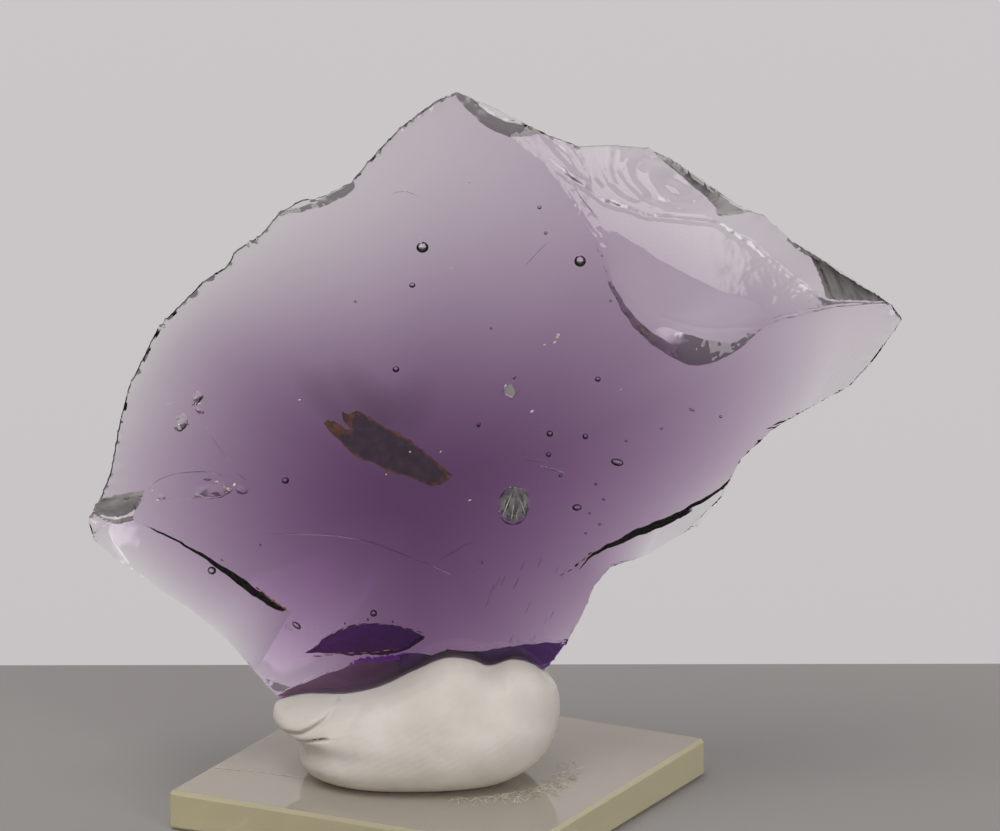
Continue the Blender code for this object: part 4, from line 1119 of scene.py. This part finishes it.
def stuckMaterial(name, dark, pale, roughness, turn=0.0, stretch=1.0):
    # mottled, or streaked along a direction that is turned from up
    material, tree, shader = newMaterial(name)
    coordinates = addNode(tree, "ShaderNodeTexCoord")
    stretched = {"Rotation": (0.0, math.radians(turn), 0.0), "Scale": (1.0, 1.0, stretch)}
    placed = addNode(tree, "ShaderNodeMapping", stretched, vector_type="TEXTURE")
    mottle = addNode(tree, "ShaderNodeTexNoise", {"Scale": 1400.0, "Detail": 4.0})
    wire(
        tree, (coordinates.outputs["Object"], placed.inputs["Vector"]),
        (placed.outputs["Vector"], mottle.inputs["Vector"]),
        (mottledColours(tree, mottle, [(0.35, dark), (0.65, pale)]), shader.inputs["Base Color"]),
    )
    setInputs(shader, {"Roughness": roughness})
    return material


def frontAt(x, z, target=None):
    # the depth of a finished piece's front, or of the flake's blank where there is none
    start = toMetres((x, -20.0, z))  # well in front of every piece
    hit, spot = (target or glassFlake).ray_cast(start, Vector((0.0, 1.0, 0.0)))[:2]
    return spot.y / mm if hit else faceDepth(x, z, -1)


def film(name, outline, proud, material):
    # a thin ragged film on the front of the flake
    bm = bmesh.new()
    bmesh.ops.create_circle(bm, cap_ends=False, segments=len(outline), radius=1.0)
    rim = sorted(bm.verts, key=lambda vert: math.atan2(vert.co.y, vert.co.x))
    for vert, (x, z) in zip(rim, outline):
        vert.co = (x, 0.0, z)
    bmesh.ops.triangle_fill(bm, use_beauty=True, edges=bm.edges)
    bmesh.ops.subdivide_edges(bm, edges=bm.edges, cuts=5, use_grid_fill=True)
    border = {vert for vert in bm.verts if vert.is_boundary}
    for vert in bm.verts:
        x, z = vert.co.x, vert.co.z
        if vert in border:
            ragged = noise.noise_vector(Vector((x * 4.0, z * 4.0, 1.0))) * marks["filmRagged"]
            x, z = x + ragged.x, z + ragged.y
        vert.co = toMetres((x, frontAt(x, z) - proud, z))
    for vert in drawnOut(bm, bm.faces):
        vert.co.y += (proud + marks["filmRoot"]) * mm
    obj = meshObject(name, bm)
    obj.data.shade_smooth()
    obj.data.set_sharp_from_angle(angle=marks["filmSharp"])
    obj.data.materials.append(material)
    return obj


def crumbs(name, rows, material, target=None):
    # small flat lumps pressed onto the front of a piece
    bm = bmesh.new()
    for x, z, long, short, turn in rows:
        size = Matrix.Diagonal((*toMetres((long, min(short, marks["crumbDepth"]), short)), 1.0))
        place = Matrix.Translation(toMetres((x, frontAt(x, z, target), z)))
        tilt = Matrix.Rotation(math.radians(-turn), 4, "Y")
        made = bmesh.ops.create_icosphere(bm, subdivisions=3, radius=1.0, matrix=place @ tilt @ size)
        for vert in made["verts"]:
            vert.co += noise.noise_vector(vert.co / mm * 5.0) * marks["crumbRough"] * short * mm
    obj = meshObject(name, bm)
    obj.data.shade_smooth()
    obj.data.materials.append(material)
    return obj


def buildMarks():
    # name, dark and pale colour, roughness
    brown = stuckMaterial("brown_stain", (0.050, 0.018, 0.016), (0.13, 0.052, 0.040), 0.75)
    dark = stuckMaterial("dark_stain", (0.034, 0.019, 0.036), (0.052, 0.030, 0.054), 0.8)
    # near-black crumbs: painted shade along the lens facet's top edge
    black = stuckMaterial("painted_shade_beads", (0.004, 0.002, 0.005), (0.014, 0.007, 0.016), 0.6)
    rust = stuckMaterial("rust_residue", (0.03, 0.010, 0.008), (0.42, 0.15, 0.06), 0.75)
    # pale crumbs: the dust specks, and the painted highlight on the shell's ridges
    pale = stuckMaterial("pale_dust_and_painted_glint", (0.45, 0.40, 0.36), (0.85, 0.81, 0.76), 0.7)
    dull = stuckMaterial(
        "dull_bruise", (0.13, 0.12, 0.12), (0.34, 0.32, 0.31), 0.6, turn=-24.0, stretch=9.0
    )
    greyed = stuckMaterial(
        "greyed_bruise", (0.34, 0.32, 0.325), (0.50, 0.475, 0.48), 0.6, turn=60.0, stretch=5.0
    )
    ashen = stuckMaterial(
        "ashen_bruise", (0.10, 0.09, 0.105), (0.27, 0.26, 0.27), 0.5, turn=6.0, stretch=5.0
    )
    made = [
        film("stain_edge", marks["stain"], marks["stainProud"], brown),
        film("stain_middle", marks["stainMiddle"], marks["middleProud"], dark),
        crumbs("rust_crumbs", marks["rust"], rust),
        crumbs("dust_specks", marks["dust"], pale),
        crumbs("shell_glint_lines", marks["shellGlintLines"], pale),
        crumbs("facet_shade_beads", marks["shadeBeads"], black),
        crumbs("fold_spot", marks["foldSpot"], brown, puttyFine),
    ]
    # the rim's bruise is lighter grey: a bruise, and painted sheen over it
    looks = {"shell_bruise": ashen, "left_tip_bruise": greyed, "rim_bruise_and_sheen": greyed}
    for name, outline in marks["bruises"].items():
        made.append(film(name, outline, marks["stainProud"], looks.get(name, dull)))
    return made


for piece in buildMarks():
    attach(piece, "root")
print("marks done")


debris = {
    # how many fibres, box of (x, y) on the base, half lengths, thickness
    "fibres": (110, (-3.5, 11.6, -11.8, 1.0), (0.25, 0.85), 0.017),
    "hair": [(-17.9, -0.9), (-16.2, -1.5), (-14.3, -2.0), (-12.4, -2.9), (-10.6, -3.6)],
    "top": 3.175,
    "seed": 5,
}


def strand(data, points):
    spline = data.splines.new("POLY")
    spline.points.add(len(points) - 1)
    for point, place in zip(spline.points, points):
        point.co = (*toMetres(place), 1.0)


def buildDebris():
    # fibres caught round the putty's foot, and one hair on the base
    rng = random.Random(debris["seed"])
    count, box, halves, thick = debris["fibres"]
    data = bpy.data.curves.new("foot_fibres", "CURVE")
    data.dimensions = "3D"
    data.bevel_depth = thick * mm
    data.bevel_resolution = 1
    data.use_fill_caps = True
    strand(data, [(x, y, debris["top"] + 0.03) for x, y in debris["hair"]])
    while len(data.splines) < count:
        x, y = rng.uniform(*box[:2]), rng.uniform(*box[2:])
        turn, half, bend = rng.uniform(0.0, math.pi), rng.uniform(*halves), rng.uniform(-0.7, 0.7)
        lift = rng.uniform(0.02, 0.4)
        # a fibre under the putty, or too far from its foot, is left out
        hit = puttyFine.ray_cast(toMetres((x, y, 40.0)), Vector((0.0, 0.0, -1.0)))[0]
        away = puttyFine.closest_point_on_mesh(toMetres((x, y, 3.4)))[1]
        reach = 0.5 + 3.0 * max(0.0, min(1.0, (x + 2.0) / 7.0)) * rng.random()
        if hit or (away - toMetres((x, y, 3.4))).length > reach * mm:
            continue
        points = []
        for step in range(7):
            share = step / 3.0 - 1.0
            angle = turn + bend * share
            points.append((
                x + half * share * math.cos(angle), y + half * share * math.sin(angle),
                debris["top"] + 0.04 + lift * (1.0 - share * share) * 0.8,
            ))
        strand(data, points)
    obj = bpy.data.objects.new("foot_fibres", data)
    bpy.context.scene.collection.objects.link(obj)
    data.materials.append(stuckMaterial("pale_fibre", (0.38, 0.34, 0.26), (0.80, 0.76, 0.64), 0.6))
    return obj


foot = buildDebris()
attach(foot, "root")
print("debris done")


floor = {
    "colour": (0.335, 0.32, 0.312), "backEdge": 0.0366, "front": -0.5, "halfWidth": 0.9, "depth": 0.02,
    "gap": 0.00005,  # between the base and the floor
}


def buildFloor():
    bm = bmesh.new()
    bmesh.ops.create_cube(bm, size=1.0)
    length = floor["backEdge"] - floor["front"]
    size = Matrix.Diagonal((2 * floor["halfWidth"], length, floor["depth"], 1.0))
    place = Matrix.Translation((0.0, floor["front"] + length / 2, -floor["depth"] / 2 - floor["gap"]))
    bmesh.ops.transform(bm, matrix=place @ size, verts=bm.verts)
    obj = meshObject("studio_floor", bm)
    material, tree, shader = newMaterial("pale_floor")
    setInputs(shader, {"Base Color": (*floor["colour"], 1.0), "Roughness": 0.9})
    obj.data.materials.append(material)
    return obj


buildFloor()

print("pieces done")
